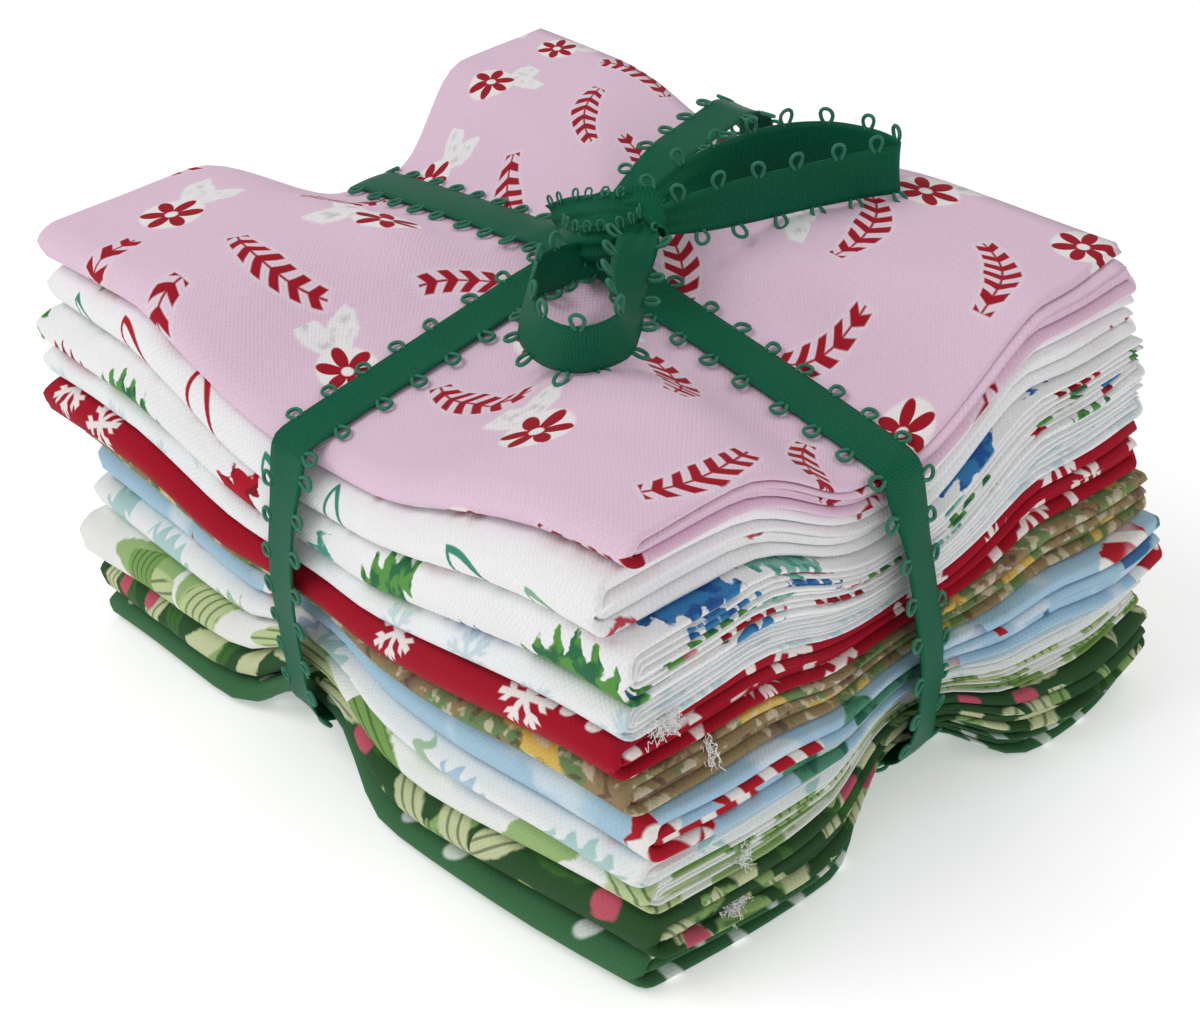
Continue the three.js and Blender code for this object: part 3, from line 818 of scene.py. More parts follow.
class PrintBed:
    """The cloth coordinates and the colours laid so far in one material."""

    def __init__(self, tree: bpy.types.NodeTree, ground: int) -> None:
        self.tree = tree
        source = tree.nodes.new("ShaderNodeUVMap")
        source.uv_map = "cloth"
        scale = tree.nodes.new("ShaderNodeVectorMath")
        scale.operation = "SCALE"
        scale.inputs["Scale"].default_value = 1.0 / METRES
        tree.links.new(source.outputs[0], scale.inputs[0])
        self.cloth = Signal(tree, scale.outputs[0])
        base = tree.nodes.new("ShaderNodeRGB")
        base.outputs[0].default_value = colour(ground)
        self.laid = base.outputs[0]

    def _mixed(self, kind: str, share: Signal | float, over: Signal | tuple) -> None:
        """Mixes a colour with what is laid, over it or as a product."""
        node = self.tree.nodes.new("ShaderNodeMix")
        node.data_type = "RGBA"
        node.blend_type = kind
        feed(self.tree, share, node.inputs["Factor"])
        self.tree.links.new(self.laid, node.inputs[6])
        feed(self.tree, over, node.inputs[7])
        self.laid = node.outputs[2]

    def ink(self, mask: Signal, code: int, strength: float = 1.0) -> None:
        """Lays one colour over what is there, where the mask is high."""
        self._mixed("MIX", mask * strength if strength < 1.0 else mask, colour(code))

    def shade(self, value: Signal) -> None:
        """Darkens or lightens all that is laid by a value near one."""
        grey = self.tree.nodes.new("ShaderNodeCombineColor")
        for slot in range(3):
            feed(self.tree, value, grey.inputs[slot])
        self._mixed("MULTIPLY", 1.0, Signal(self.tree, grey.outputs[0]))

    def rough_edge(self, depth: Signal, amount: float, rate: float = 0.6) -> Signal:
        """Makes a motif's outline uneven, as painted."""
        return depth + (noise(self.tree, self.cloth, rate, 2.0) - 0.5) * amount


class Pattern(Enum):
    """The printed patterns."""

    FLOWERS = "leafy sprigs and six-petal flowers"
    OUTLINES = "thin outlined leaves"
    WOODLAND = "painted sprigs"
    FROST = "faint snow"
    SNOW = "snowflakes and dots"
    EARTH = "painted patches"
    RIBBONS = "striped leaves on sky"
    FERNS = "pale fern sprigs"
    DARK_FOLIAGE = "dense leaves and berries"
    PALE_FOLIAGE = "open pale leaves"
    DOTS = "oval dots"


def print_spots(
    bed: PrintBed, pitch: float, seed: float, jitter: float, outline: tuple[float, float, float],
    edge: float, share: float, code: int, strength: float = 1.0,
) -> None:
    """Scatters small round spots.

    Args:
        bed: The material's print bed.
        pitch: The spots' usual distance, in millimetres.
        seed: Moves the whole scatter.
        jitter: How uneven the distances are.
        outline: A spot's lobes, inner radius and outer radius.
        edge: The softness of its edge.
        share: The share of places that carry a spot.
        code: The spots' screen colour.
        strength: How strongly the colour covers.
    """
    across, along, chance, _ = scatter(bed.tree, bed.cloth, pitch, seed, jitter, 0.0)
    spot = petals(bed.tree, across, along, *outline)[0]
    bed.ink(spot.soft(edge) * chance.math("LESS_THAN", share), code, strength)


def print_flowers(bed: PrintBed, seed: float) -> None:
    """Dark red leafy sprigs, six-petal flowers and soft white leaves."""
    across, along, chance, _ = scatter(bed.tree, bed.cloth, 23.5, seed, 0.28, 1.0)
    is_twig = chance.math("LESS_THAN", 0.6)
    marks = twig(bed.tree, across + 20.0, along, 20.0, 6.2, 38.0)[0]
    flower, radius = petals(bed.tree, across, along, 6.0, 1.6, 5.4)
    left = leaf(bed.tree, along - across * 0.5 + 2.0, across - 7.6, 9.0, 6.0)[0]
    right = leaf(bed.tree, along + across * 0.4 - 1.0, across - 8.0, 9.5, 6.0)[0]
    leaves = bed.rough_edge(left.math("MAXIMUM", right), 1.6)
    flowers = is_twig.flipped()
    bed.ink(leaves.soft(0.5) * flowers, 0xF4F1F2)
    patches = noise(bed.tree, bed.cloth, 0.5).eased(0.45, 0.75)
    bed.ink((leaves - 1.4).soft(0.9) * flowers * patches, 0xC3C0C6, 0.7)
    bed.ink((radius * -1.0 + 5.4).soft(0.4) * flowers, 0xF6F1F0)
    bed.ink(flower.soft(0.18) * flowers, 0xA51829)
    bed.ink((radius * -1.0 + 1.1).soft(0.2) * flowers, 0xF6F1F0)
    bed.ink((marks + 0.5).soft(0.5) * is_twig, 0xF0E4EA, 0.6)
    bed.ink(marks.soft(0.18) * is_twig, 0xA51829)


def print_outlines(bed: PrintBed, seed: float) -> None:
    """Thin outlined leaves in red and greens on white."""
    across, along, chance, tint = scatter(bed.tree, bed.cloth, 16.5, seed, 0.4, 0.22)
    depth = leaf(bed.tree, across + along * 0.25, along, 14.0, 5.6)[0]
    line = ((depth - 0.35).math("ABSOLUTE") * -1.0 + 0.42).soft(0.12)
    small = twig(bed.tree, across - 3.0, along - 5.0, 2.6, 0.9, 9.0)[0]
    bed.ink(line * chance.between(-0.1, 0.38), 0xB4212F)
    bed.ink(line * chance.between(0.38, 0.7), 0x3F9078)
    bed.ink(line * chance.between(0.7, 1.1), 0x8DB694)
    bed.ink(small.soft(0.15) * tint.math("GREATER_THAN", 0.6), 0xC04A52)


def print_woodland(bed: PrintBed, seed: float) -> None:
    """Painted green sprigs, red leaves and blue strokes on white."""
    across, along, chance, _ = scatter(bed.tree, bed.cloth, 20.0, seed, 0.4, 0.4)
    barbs = (along * 2.1).math("SINE") * 1.1
    sprig = leaf(bed.tree, across + barbs, along, 21.0, 9.5)[0]
    sprig = bed.rough_edge(sprig, 2.2, 0.9)
    shades = noise(bed.tree, bed.cloth, 0.35)
    kinds = ((-0.1, 0.34, 0x5E9A4A, 0x2E7049), (0.34, 0.58, 0xB5192B, 0x8A1526),
             (0.58, 0.8, 0x3C82B8, 0x2C5C9E), (0.8, 0.94, 0x86BDAE, 0x4E9C8E))
    for low, high, light, dark in kinds:
        shown = sprig.soft(0.25) * chance.between(low, high)
        bed.ink(shown, light)
        bed.ink(shown * shades.eased(0.47, 0.6), dark)
    print_spots(bed, 9.0, seed + 3.3, 0.9, (5.0, 0.9, 1.2), 0.2, 0.16, 0xC6606A, 0.8)


def print_frost(bed: PrintBed, seed: float) -> None:
    """Faint pale-blue snow on near white."""
    across, along, chance, _ = scatter(bed.tree, bed.cloth, 13.0, seed, 0.5, 1.0)
    flake = snow(bed.tree, across, along, 4.2, 0.9)[0]
    bed.ink(flake.soft(0.35) * chance.math("LESS_THAN", 0.62), 0xC3DCE4, 0.8)
    fern = leaf(bed.tree, across + (along * 2.6).math("SINE") * 0.8, along, 11.0, 4.0)[0]
    bed.ink(fern.soft(0.5) * chance.math("GREATER_THAN", 0.74), 0xCFE2E6, 0.8)


def print_snow(bed: PrintBed, seed: float) -> None:
    """White snowflakes, sprigs and dots on deep red."""
    across, along, chance, _ = scatter(bed.tree, bed.cloth, 15.0, seed, 0.45, 1.0)
    flake = snow(bed.tree, across, along, 4.6, 0.95)[0]
    bed.ink(flake.soft(0.15) * chance.math("LESS_THAN", 0.4), 0xF3E9E6)
    blade = leaf(bed.tree, across, along, 7.5, 2.6)[0]
    bed.ink(blade.soft(0.2) * chance.between(0.4, 0.62), 0xF0E2DF)
    print_spots(bed, 8.5, seed + 5.1, 0.75, (2.0, 0.95, 1.15), 0.18, 0.5, 0xF3E9E6)


def print_earth(bed: PrintBed, seed: float) -> None:
    """Painted patches of tan, brown, green and yellow."""
    broad = noise(bed.tree, bed.cloth, 0.055 + seed * 0.001, 3.0)
    fine = noise(bed.tree, bed.cloth, 0.35, 3.0)
    bed.ink(broad.eased(0.5, 0.56), 0x6D8A58)
    bed.ink(broad.eased(0.6, 0.63), 0xD9B85E)
    bed.ink(broad.eased(0.33, 0.4).flipped(), 0x80685C)
    bed.ink(fine.eased(0.56, 0.66), 0xD8CFB4, 0.75)
    bed.ink(fine.eased(0.3, 0.4).flipped(), 0x55433C, 0.7)


def print_ribbons(bed: PrintBed, seed: float) -> None:
    """Striped leaves, green leaves and blue strokes on sky blue."""
    across, along, chance, _ = scatter(bed.tree, bed.cloth, 27.0, seed, 0.35, 0.3)
    body = leaf(bed.tree, across, along, 26.0, 15.0)[0]
    body = bed.rough_edge(body, 1.2)
    stripes = ((along * 0.16 + across * 0.05).math("FRACT") - 0.5).math("ABSOLUTE")
    striped = chance.math("LESS_THAN", 0.34)
    bed.ink(body.soft(0.25) * striped, 0xF3EFEA)
    bed.ink(body.soft(0.25) * striped * ((stripes - 0.2) * 8.0).soft(0.3), 0xB41C2C)
    green = chance.between(0.34, 0.62)
    bed.ink(body.soft(0.4) * green, 0x4F8E6E)
    bed.ink(body.soft(0.4) * green * noise(bed.tree, bed.cloth, 0.3).eased(0.5, 0.6), 0x2F6E5B)
    bed.ink((body - 3.0).soft(0.4) * chance.between(0.62, 0.8), 0x3E6F9E)
    white = noise(bed.tree, bed.cloth, 0.06)
    bed.ink(white.eased(0.56, 0.66), 0xE9F0F5, 0.6)
    bars = scatter(bed.tree, bed.cloth, 21.0, seed + 2.2, 0.6, 1.0)
    bar = leaf(bed.tree, bars[0], bars[1], 13.0, 1.8)[0]
    bed.ink(bar.soft(0.2) * bars[2].math("LESS_THAN", 0.45), 0xB22334)


def print_ferns(bed: PrintBed, seed: float) -> None:
    """Pale teal fern sprigs on white."""
    across, along, chance, _ = scatter(bed.tree, bed.cloth, 17.0, seed, 0.45, 1.0)
    fern = leaf(bed.tree, across + (along * 2.2).math("SINE") * 1.1, along, 15.0, 6.0)[0]
    fern = bed.rough_edge(fern, 1.4)
    bed.ink(fern.soft(0.4) * chance.math("LESS_THAN", 0.45), 0xA5D0CD, 0.85)
    bed.ink(fern.soft(0.4) * chance.between(0.45, 0.6), 0x93B9DB, 0.7)
    bed.ink(fern.soft(0.4) * chance.between(0.6, 0.72), 0x8FBF8C, 0.8)


FOLIAGE_DENSE = 10.0
FOLIAGE_OPEN = 19.0


def print_foliage(
    bed: PrintBed, seed: float, pitch: float, leaves: tuple[int, int, int], berry: int | None,
) -> None:
    """Layers of painted leaves, with berries where a berry colour is given."""
    for layer, code in enumerate(leaves):
        across, along, chance, _ = scatter(bed.tree, bed.cloth, pitch * (1.25 - 0.15 * layer),
                                           seed + 4.7 * layer, 0.7, 1.0)
        blade = leaf(bed.tree, across, along, pitch * 1.45, pitch * 0.45)[0]
        blade = bed.rough_edge(blade, 1.1)
        bed.ink(blade.soft(0.3) * chance.math("LESS_THAN", 0.62), code)
        lines = ((across * 0.62 + along * 0.05).math("FRACT") - 0.5).math("ABSOLUTE") * -1.0 + 0.13
        rib = lines.soft(0.08) * (blade - 0.4).soft(0.3)
        bed.ink(rib * chance.math("LESS_THAN", 0.42), 0x35552F, 0.7)
    if berry is not None:
        print_spots(bed, 10.0, seed + 9.1, 0.8, (3.0, 1.7, 2.1), 0.3, 0.28, berry)


def print_dark_foliage(bed: PrintBed, seed: float) -> None:
    """Dense leaves and berries on dark green."""
    print_foliage(bed, seed, FOLIAGE_DENSE, (0x3F6E35, 0x8DAE6B, 0xC9D0A4), 0xC4586C)


def print_pale_foliage(bed: PrintBed, seed: float) -> None:
    """Open pale leaves on white."""
    print_foliage(bed, seed, FOLIAGE_OPEN, (0x9DBB7C, 0xC2D39B, 0x7FA65C), None)


def print_dots(bed: PrintBed, seed: float) -> None:
    """White oval dots in loose rows on mid green."""
    across, along, _, _ = scatter(bed.tree, bed.cloth, 11.0, seed, 0.3, 0.12)
    dot = petals(bed.tree, across * 0.75, along, 2.0, 1.25, 1.4)[0]
    bed.ink(dot.soft(0.3), 0xDCE5DE)


PRINTS = {
    Pattern.FLOWERS: print_flowers, Pattern.OUTLINES: print_outlines, Pattern.WOODLAND: print_woodland,
    Pattern.FROST: print_frost, Pattern.SNOW: print_snow, Pattern.EARTH: print_earth,
    Pattern.RIBBONS: print_ribbons, Pattern.FERNS: print_ferns, Pattern.DOTS: print_dots,
    Pattern.DARK_FOLIAGE: print_dark_foliage, Pattern.PALE_FOLIAGE: print_pale_foliage,
}


@dataclass(frozen=True)
class Finish:
    """A surface finish that knows its record slot."""

    slot: str

    @property
    def label(self) -> str:
        """Names the material, apart from the CAD model's own."""
        return self.slot + "_finish"

    def material(self) -> bpy.types.Material:
        """Gives the finish's material, making it the first time."""
        if self.label in bpy.data.materials:
            return bpy.data.materials[self.label]
        made = bpy.data.materials.new(self.label)
        made.use_nodes = True
        self.dress(made.node_tree, made.node_tree.nodes["Principled BSDF"])
        return made

    def dress(self, tree: bpy.types.NodeTree, shader: bpy.types.Node) -> None:
        """Builds the finish's nodes round its shader."""
        raise NotImplementedError

    @staticmethod
    def relief(shader: bpy.types.Node, height: Signal, distance: float, strength: float) -> None:
        """Raises the surface by a height signal, over a distance in metres."""
        tree = height.tree
        bump = tree.nodes.new("ShaderNodeBump")
        bump.inputs["Distance"].default_value = distance
        bump.inputs["Strength"].default_value = strength
        feed(tree, height, bump.inputs["Height"])
        tree.links.new(bump.outputs["Normal"], shader.inputs["Normal"])

    @staticmethod
    def coat(bed: PrintBed, shader: bpy.types.Node, values: dict[str, float]) -> None:
        """Gives the shader the laid colours and its plain values."""
        bed.tree.links.new(bed.laid, shader.inputs["Base Color"])
        for label, value in values.items():
            shader.inputs[label].default_value = value


@dataclass(frozen=True)
class PrintedCotton(Finish):
    """Quilting cotton: a plain weave with a printed pattern."""

    ground: int
    pattern: Pattern
    seed: float = 0.0

    thread_pitch = 0.42

    def dress(self, tree: bpy.types.NodeTree, shader: bpy.types.Node) -> None:
        """Lays the print and weaves it."""
        bed = PrintBed(tree, self.ground)
        PRINTS[self.pattern](bed, self.seed)
        height, shade = weave(tree, bed.cloth, self.thread_pitch)
        # The weave's shade carries the threads' uneven tone and a faint painted highlight on the raised
        # crossings.
        bed.shade(shade)
        self.coat(bed, shader, {"Roughness": 0.88, "Specular IOR Level": 0.15, "Sheen Weight": 0.03})
        self.relief(shader, height, distance=0.00012, strength=0.45)


@dataclass(frozen=True)
class Satin(Finish):
    """Satin ribbon: long floats with a fine rib across and a soft shine."""

    body: int = 0x0C573E
    # light is a paler copy of the body colour, laid as a painted highlight on the rib and twill crests.
    light: int = 0x1B7252
    picot: int = 0x3A7C64

    rib_pitch = 0.5
    twill_pitch = 0.36

    def dress(self, tree: bpy.types.NodeTree, shader: bpy.types.Node) -> None:
        """Weaves the satin, with a painted highlight on the crests of its rib and twill and paler thread in
        the picots.
        """
        bed = PrintBed(tree, self.body)
        across, along = split(tree, bed.cloth)
        rib = (along * (math.tau / self.rib_pitch) + (across * 3.6).math("SINE") * 0.9).math("SINE")
        twill = ((along + across * 0.55) * (math.tau / self.twill_pitch)).math("SINE")
        threads = noise(tree, bed.cloth, 2.2, 2.0)
        # Painted highlight: the paler colour lies where the rib and twill rise, mixed with the threads' own
        # uneven tone from the noise.
        bed.ink((rib * 0.25 + twill * 0.2 + threads).eased(0.25, 0.95), self.light, 0.6)
        thread = across.math("ABSOLUTE").math("GREATER_THAN", Strip.width / 2 + 0.02)
        bed.ink(thread, self.picot)
        bed.shade(noise(tree, bed.cloth, 0.12, 2.0) * 0.16 + 0.92)
        self.coat(bed, shader, {"Roughness": 0.42, "Specular IOR Level": 0.08, "Anisotropic": 0.4})
        self.relief(shader, rib * 0.5 + twill * 0.35, distance=0.00008, strength=0.35)


@dataclass(frozen=True)
class Lint(Finish):
    """Loose white cotton threads."""

    white: int = 0xFAFAF8

    @property
    def label(self) -> str:
        """Names the lint's own material."""
        return "loose_lint"

    def dress(self, tree: bpy.types.NodeTree, shader: bpy.types.Node) -> None:
        """Shades the threads a little unevenly."""
        bed = PrintBed(tree, self.white)
        bed.shade(noise(tree, bed.cloth, 1.5, 2.0) * 0.1 + 0.94)
        self.coat(bed, shader, {"Roughness": 0.95, "Sheen Weight": 0.3})


# The ribbon


def through(table: np.ndarray, count: int) -> np.ndarray:
    """Runs a smooth curve through a table's rows, evenly stepped along its first three columns."""
    rows = np.concatenate([2 * table[:1] - table[1:2], table, 2 * table[-1:] - table[-2:-1]])
    fine = []
    for order in range(1, len(rows) - 2):
        before, start, end, after = rows[order - 1:order + 3]
        square = 2 * before - 5 * start + 4 * end - after
        cube = 3 * start - before - 3 * end + after
        for t in np.linspace(0.0, 1.0, 24, endpoint=False):
            fine.append(0.5 * (2 * start + (end - before) * t + square * t**2 + cube * t**3))
    fine.append(table[-1])
    return even_steps(np.array(fine), count)


def even_steps(line: np.ndarray, count: int) -> np.ndarray:
    """Takes points at even steps along a line of rows whose first three columns are a place."""
    reach = np.concatenate([[0.0], np.cumsum(np.linalg.norm(np.diff(line[:, :3], axis=0), axis=1))])
    wanted = np.linspace(0.0, reach[-1], count)
    return np.stack([np.interp(wanted, reach, column) for column in line.T], axis=-1)


def unit(vectors: np.ndarray) -> np.ndarray:
    """Scales vectors to length one."""
    return vectors / np.linalg.norm(vectors, axis=-1, keepdims=True)


@dataclass(frozen=True)
class Picots:
    """The small loops of thread along both edges of the ribbon."""

    pitch: float = 6.7
    out: float = 2.2
    half_wide: float = 0.82
    half_foot: float = 0.32
    thread: float = 0.33
    steps: int = 14
    faces: int = 6

    root = 0.45
    swell = 1.3

    def shape(self) -> np.ndarray:
        """Gives the loop's line as distances along the edge and out from it."""
        turn = np.linspace(0.0, 1.0, self.steps + 1)
        out = (self.out + self.root) * np.sin(math.pi * turn) ** 2 - self.root
        swell = self.swell * np.sin(2 * math.pi * turn) * np.sin(math.pi * turn)
        along = -self.half_wide * swell - self.half_foot * np.cos(math.pi * turn)
        return np.stack([along, out], axis=-1)


@dataclass
class Strip:
    """A length of ribbon as a centre line, its width directions and the share of its width held open."""

    centre: np.ndarray
    across: np.ndarray
    spread: np.ndarray
    closed: bool = False
    pleat: np.ndarray | float = 0.0

    width = 8.2
    thick = 0.32
    columns = 9
    crown = 0.22
    pleats = 2.5
    splay = 1.5
    step = 1.3
    end_margin = 0.8
    sway = 0.25
    sway_rate = 5.1

    def frames(self) -> tuple[np.ndarray, np.ndarray, np.ndarray]:
        """Gives the unit vectors along, across and away from the ribbon's face."""
        if self.closed:
            ahead = np.roll(self.centre, -1, axis=0) - np.roll(self.centre, 1, axis=0)
        else:
            ahead = np.gradient(self.centre, axis=0)
        along = unit(ahead)
        across = unit(self.across - np.sum(self.across * along, axis=1, keepdims=True) * along)
        return along, across, np.cross(along, across)

    def length(self) -> float:
        """Measures the centre line."""
        line = np.concatenate([self.centre, self.centre[:1]]) if self.closed else self.centre
        return float(np.sum(np.linalg.norm(np.diff(line, axis=0), axis=1)))

    def weave(self, surface: Surface, picots: Picots, start: float = 0.5, edges: tuple[int, ...] = (-1, 1),
              lower: int = 0) -> None:
        """Adds the ribbon and its picots to a surface.

        Args:
            surface: The surface that takes them.
            picots: The loops along the edges.
            start: Where the first loop comes, in pitches.
            edges: The edges that carry loops.
            lower: The edge whose loops splay outward on the cloth, or 0 for none.
        """
        along, across, away = self.frames()
        from_middle = self.centre - self.centre.mean(axis=0)
        outside = away * np.sign(np.sum(away * from_middle, axis=1, keepdims=True))
        share = np.linspace(-1.0, 1.0, self.columns)
        bend = self.crown * (1 - share**2)[None, :] + (
            np.asarray(self.pleat).reshape(-1, 1) * np.sin(share * math.pi * self.pleats)[None, :])
        middle = (self.centre[:, None] + across[:, None] * (share[None, :, None] * self.width / 2
                  * self.spread[:, None, None]) + away[:, None] * bend[..., None])
        half = away[:, None] * self.thick / 2
        points = np.stack([middle + half, middle - half]).reshape(-1, 3)
        reach = np.concatenate([[0.0], np.cumsum(np.linalg.norm(np.diff(self.centre, axis=0), axis=1))])
        flats = np.stack(np.meshgrid(reach, share * self.width / 2, indexing="ij"), axis=-1)
        flats = flats[..., ::-1].reshape(-1, 2)
        faces = sheet_faces(len(reach), self.columns, self.closed)
        surface.add(points, faces, np.concatenate([flats, flats]))
        for edge in edges:
            offset = picots.pitch * (start + (0.5 if edge > 0 else 0.0))
            for place in np.arange(offset % picots.pitch, reach[-1] - self.end_margin, picots.pitch):
                row = int(np.searchsorted(reach, place))
                edge_place = middle[row, -1 if edge > 0 else 0]
                sway = self.sway * math.sin(place * self.sway_rate + edge)
                out = across[row] * edge
                if edge == lower:
                    out = unit(out + self.splay * outside[row])
                face = np.cross(along[row], out)
                self.picot(surface, picots, edge_place, along[row] + sway * out, out, face,
                           (edge * self.width / 2, place))

    def picot(self, surface: Surface, picots: Picots, foot: np.ndarray, along: np.ndarray, out: np.ndarray,
              away: np.ndarray, flat: tuple[float, float]) -> None:
        """Adds one closed thread loop that starts and ends in the ribbon's edge."""
        line = picots.shape()
        places = foot + line[:, :1] * along + line[:, 1:] * out
        side = np.cross(unit(np.gradient(places, axis=0)), away)
        beside = np.sign(flat[0]) * (1.0 + np.maximum(line[:, 1], 0.0)) + flat[0]
        flats = np.stack([beside, flat[1] + line[:, 0]], axis=-1)
        add_thread(surface, places, side, away, picots.thread, picots.faces, flats)


@dataclass(frozen=True)
class Wrap:
    """One turn of ribbon round the bundle, taut from edge to edge.

    stand_off is its distance from the cloths, crossing_lift what it rises where the turns cross,
    bridge how high it spans the dip toward the far edge, and turned how far it leans, in degrees, on
    the side that shows.
    """

    name: str
    replaced: str
    along_x: bool
    stand_off: float
    crossing_lift: float
    bridge: float = 0.0
    turned: float = 0.0

    flat_stops = 61
    side_stops = 34
    level_low = 0.03
    level_high = 0.985
    level_near = 0.05
    core_height = 38.0
    crossing_half = 9.0
    crossing_soft = 9.0
    lean_start = 14.0
    lean_full = 9.0
    lean_rise = (4.0, 18.0)
    lean_end = (46.0, 58.0)
    lean_out = 0.4
    bridge_start = (2.0, 30.0)
    bridge_end = (46.0, 58.0)
    bridge_fall = 0.55
    bridge_height = (60.0, 72.0)

    def place(self, stack: PressedStack, along: np.ndarray, level: np.ndarray, side: float) -> np.ndarray:
        """Places points of one edge of the ribbon on the stack."""
        wide = np.full(along.shape, side * Strip.width / 2)
        x, y = (along, wide) if self.along_x else (wide, along)
        return stack.place(x, y, level)

    def reach(self, pile: list[FatQuarter], level: float, far: bool) -> float:
        """Gives how far the cloths near a level stand out under the ribbon."""
        total = sum(sum(cloth.heights) for cloth in pile)
        start = 0.0
        best = -math.inf
        for cloth in pile:
            end = start + sum(cloth.heights) / total
            if start < level + self.level_near and end > level - self.level_near:
                if self.along_x:
                    out = (cloth.east_front + cloth.east_right) / 2 if far else cloth.west
                else:
                    out = cloth.north if far else (cloth.south_left + cloth.south_front) / 2
                best = max(best, out)
            start = end
        return best

    def strip(self, stack: PressedStack, pile: list[FatQuarter]) -> Strip:
        """Pulls the ribbon taut round the stack and steps evenly along it."""
        half = HALF_X if self.along_x else HALF_Y
        stops = [(along, 1.0) for along in np.linspace(-half, half, self.flat_stops)]
        stops += [(half + self.reach(pile, level, True), level)
                  for level in np.linspace(self.level_high, self.level_low, self.side_stops)]
        stops += [(along, 0.0) for along in np.linspace(half, -half, self.flat_stops)]
        stops += [(-half - self.reach(pile, level, False), level)
                  for level in np.linspace(self.level_low, self.level_high, self.side_stops)]
        along, level = np.array(stops).T
        edges = [self.place(stack, along, level, side) for side in (-1.0, 1.0)]
        centre = (edges[0] + edges[1]) / 2
        outline = centre[:, [0, 2]] if self.along_x else centre[:, [1, 2]]
        kept = self.hull(outline)
        rows = np.concatenate([centre, edges[1] - edges[0]], axis=1)[kept]
        rows = np.concatenate([rows, rows[:1]])
        whole = float(np.sum(np.linalg.norm(np.diff(rows[:, :3], axis=0), axis=1)))
        count = int(whole / Strip.step)
        even = even_steps(rows, count + 1)[:-1]
        for _ in range(2):
            even = (np.roll(even, 1, axis=0) + 2 * even + np.roll(even, -1, axis=0)) / 4
        middle = even[:, :3]
        across = unit(even[:, 3:])
        away = np.cross(unit(np.roll(middle, -1, axis=0) - np.roll(middle, 1, axis=0)), across)
        outward = middle - np.array([0.0, 0.0, self.core_height])
        away = away * np.sign(np.sum(away * outward, axis=1, keepdims=True))
        from_crossing = np.hypot(middle[:, 0], middle[:, 1] - stack.centre_shift[1])
        near = smoothstep(from_crossing, self.crossing_half + self.crossing_soft, self.crossing_half)
        middle = middle + away * (self.stand_off + self.crossing_lift * near[:, None])
        side = middle[:, 0] if self.along_x else -middle[:, 1]
        held = smoothstep(side, half - self.lean_start, half - self.lean_full)
        held = held * smoothstep(middle[:, 2], *self.lean_rise)
        angle = math.radians(self.turned) * held * (1.0 - smoothstep(middle[:, 2], *self.lean_end))
        angle = angle[:, None]
        across = across * np.cos(angle) + away * np.sin(angle) * (-1.0 if self.along_x else 1.0)
        middle = middle + away * np.sin(angle) * Strip.width * self.lean_out
        fall = 1.0 - self.bridge_fall * smoothstep(middle[:, 1], *self.bridge_end)
        far = smoothstep(middle[:, 1], *self.bridge_start) * fall
        upper = smoothstep(middle[:, 2], *self.bridge_height)
        middle[:, 2] += self.bridge * far * upper
        return Strip(middle, across, np.ones(len(middle)), closed=True)

    @staticmethod
    def hull(points: np.ndarray) -> list[int]:
        """Finds the point numbers on the convex outline, in their given order round it."""
        order = sorted(range(len(points)), key=lambda i: (points[i][0], points[i][1]))

        def chain(numbers: list[int]) -> list[int]:
            """Keeps one half of the outline."""
            kept: list[int] = []
            for number in numbers:
                while len(kept) > 1:
                    first, second = points[kept[-2]], points[kept[-1]]
                    ahead, beyond = second - first, points[number] - second
                    if ahead[0] * beyond[1] - ahead[1] * beyond[0] > 0:
                        break
                    kept.pop()
                kept.append(number)
            return kept

        lower = chain(order)
        upper = chain(order[::-1])
        return sorted(set(lower) | set(upper))

    def build(self, stack: PressedStack, pile: list[FatQuarter], finish: Finish, picots: Picots) -> None:
        """Makes the wrap."""
        strip = self.strip(stack, pile)
        surface = Surface.empty()
        strip.weave(surface, picots)
        made = surface.piece(self.name, finish, self.replaced)
        declare_ribbon(made, strip.length())


PICOT_AREA = 1.12


def declare_ribbon(made: bpy.types.Object, length: float) -> None:
    """Logs a piece's length of ribbon; its width over the picots and the picots' area are worked out but
    not used.
    """
    over_picots = Strip.width + 2 * Picots.out
    over_picots * METRES
    PICOT_AREA * Strip.width * length * METRES**2
    log.info("%s: %.0f mm of ribbon", made.name, length)


class Bow:
    """The bow's own directions: right, forward and up as the photograph shows it."""

    turn = math.radians(48.9)
    shift = (0.0, 2.0)

    @classmethod
    def turned(cls, rows: np.ndarray) -> np.ndarray:
        """Turns right, forward and up parts into the bundle's directions."""
        c, s = math.cos(cls.turn), math.sin(cls.turn)
        right, forward, up = rows.T
        return np.stack([right * c + forward * s, right * s - forward * c, up], axis=-1)

    @classmethod
    def strip(cls, table: tuple[tuple[float, ...], ...], pleat: float = 0.0) -> Strip:
        """Runs a ribbon through rows of place, width direction and share of the width held open."""
        rows = np.array(table, dtype=float)
        rough = through(rows, 200)
        length = float(np.sum(np.linalg.norm(np.diff(rough[:, :3], axis=0), axis=1)))
        even = through(rows, max(12, int(length / (0.55 * Strip.step))))
        centre = cls.turned(even[:, :3]) + [*cls.shift, 0.0]
        closing = np.clip(1.0 - even[:, 6], 0.0, 1.0)
        return Strip(centre, unit(cls.turned(even[:, 3:6])), even[:, 6], pleat=pleat * closing)


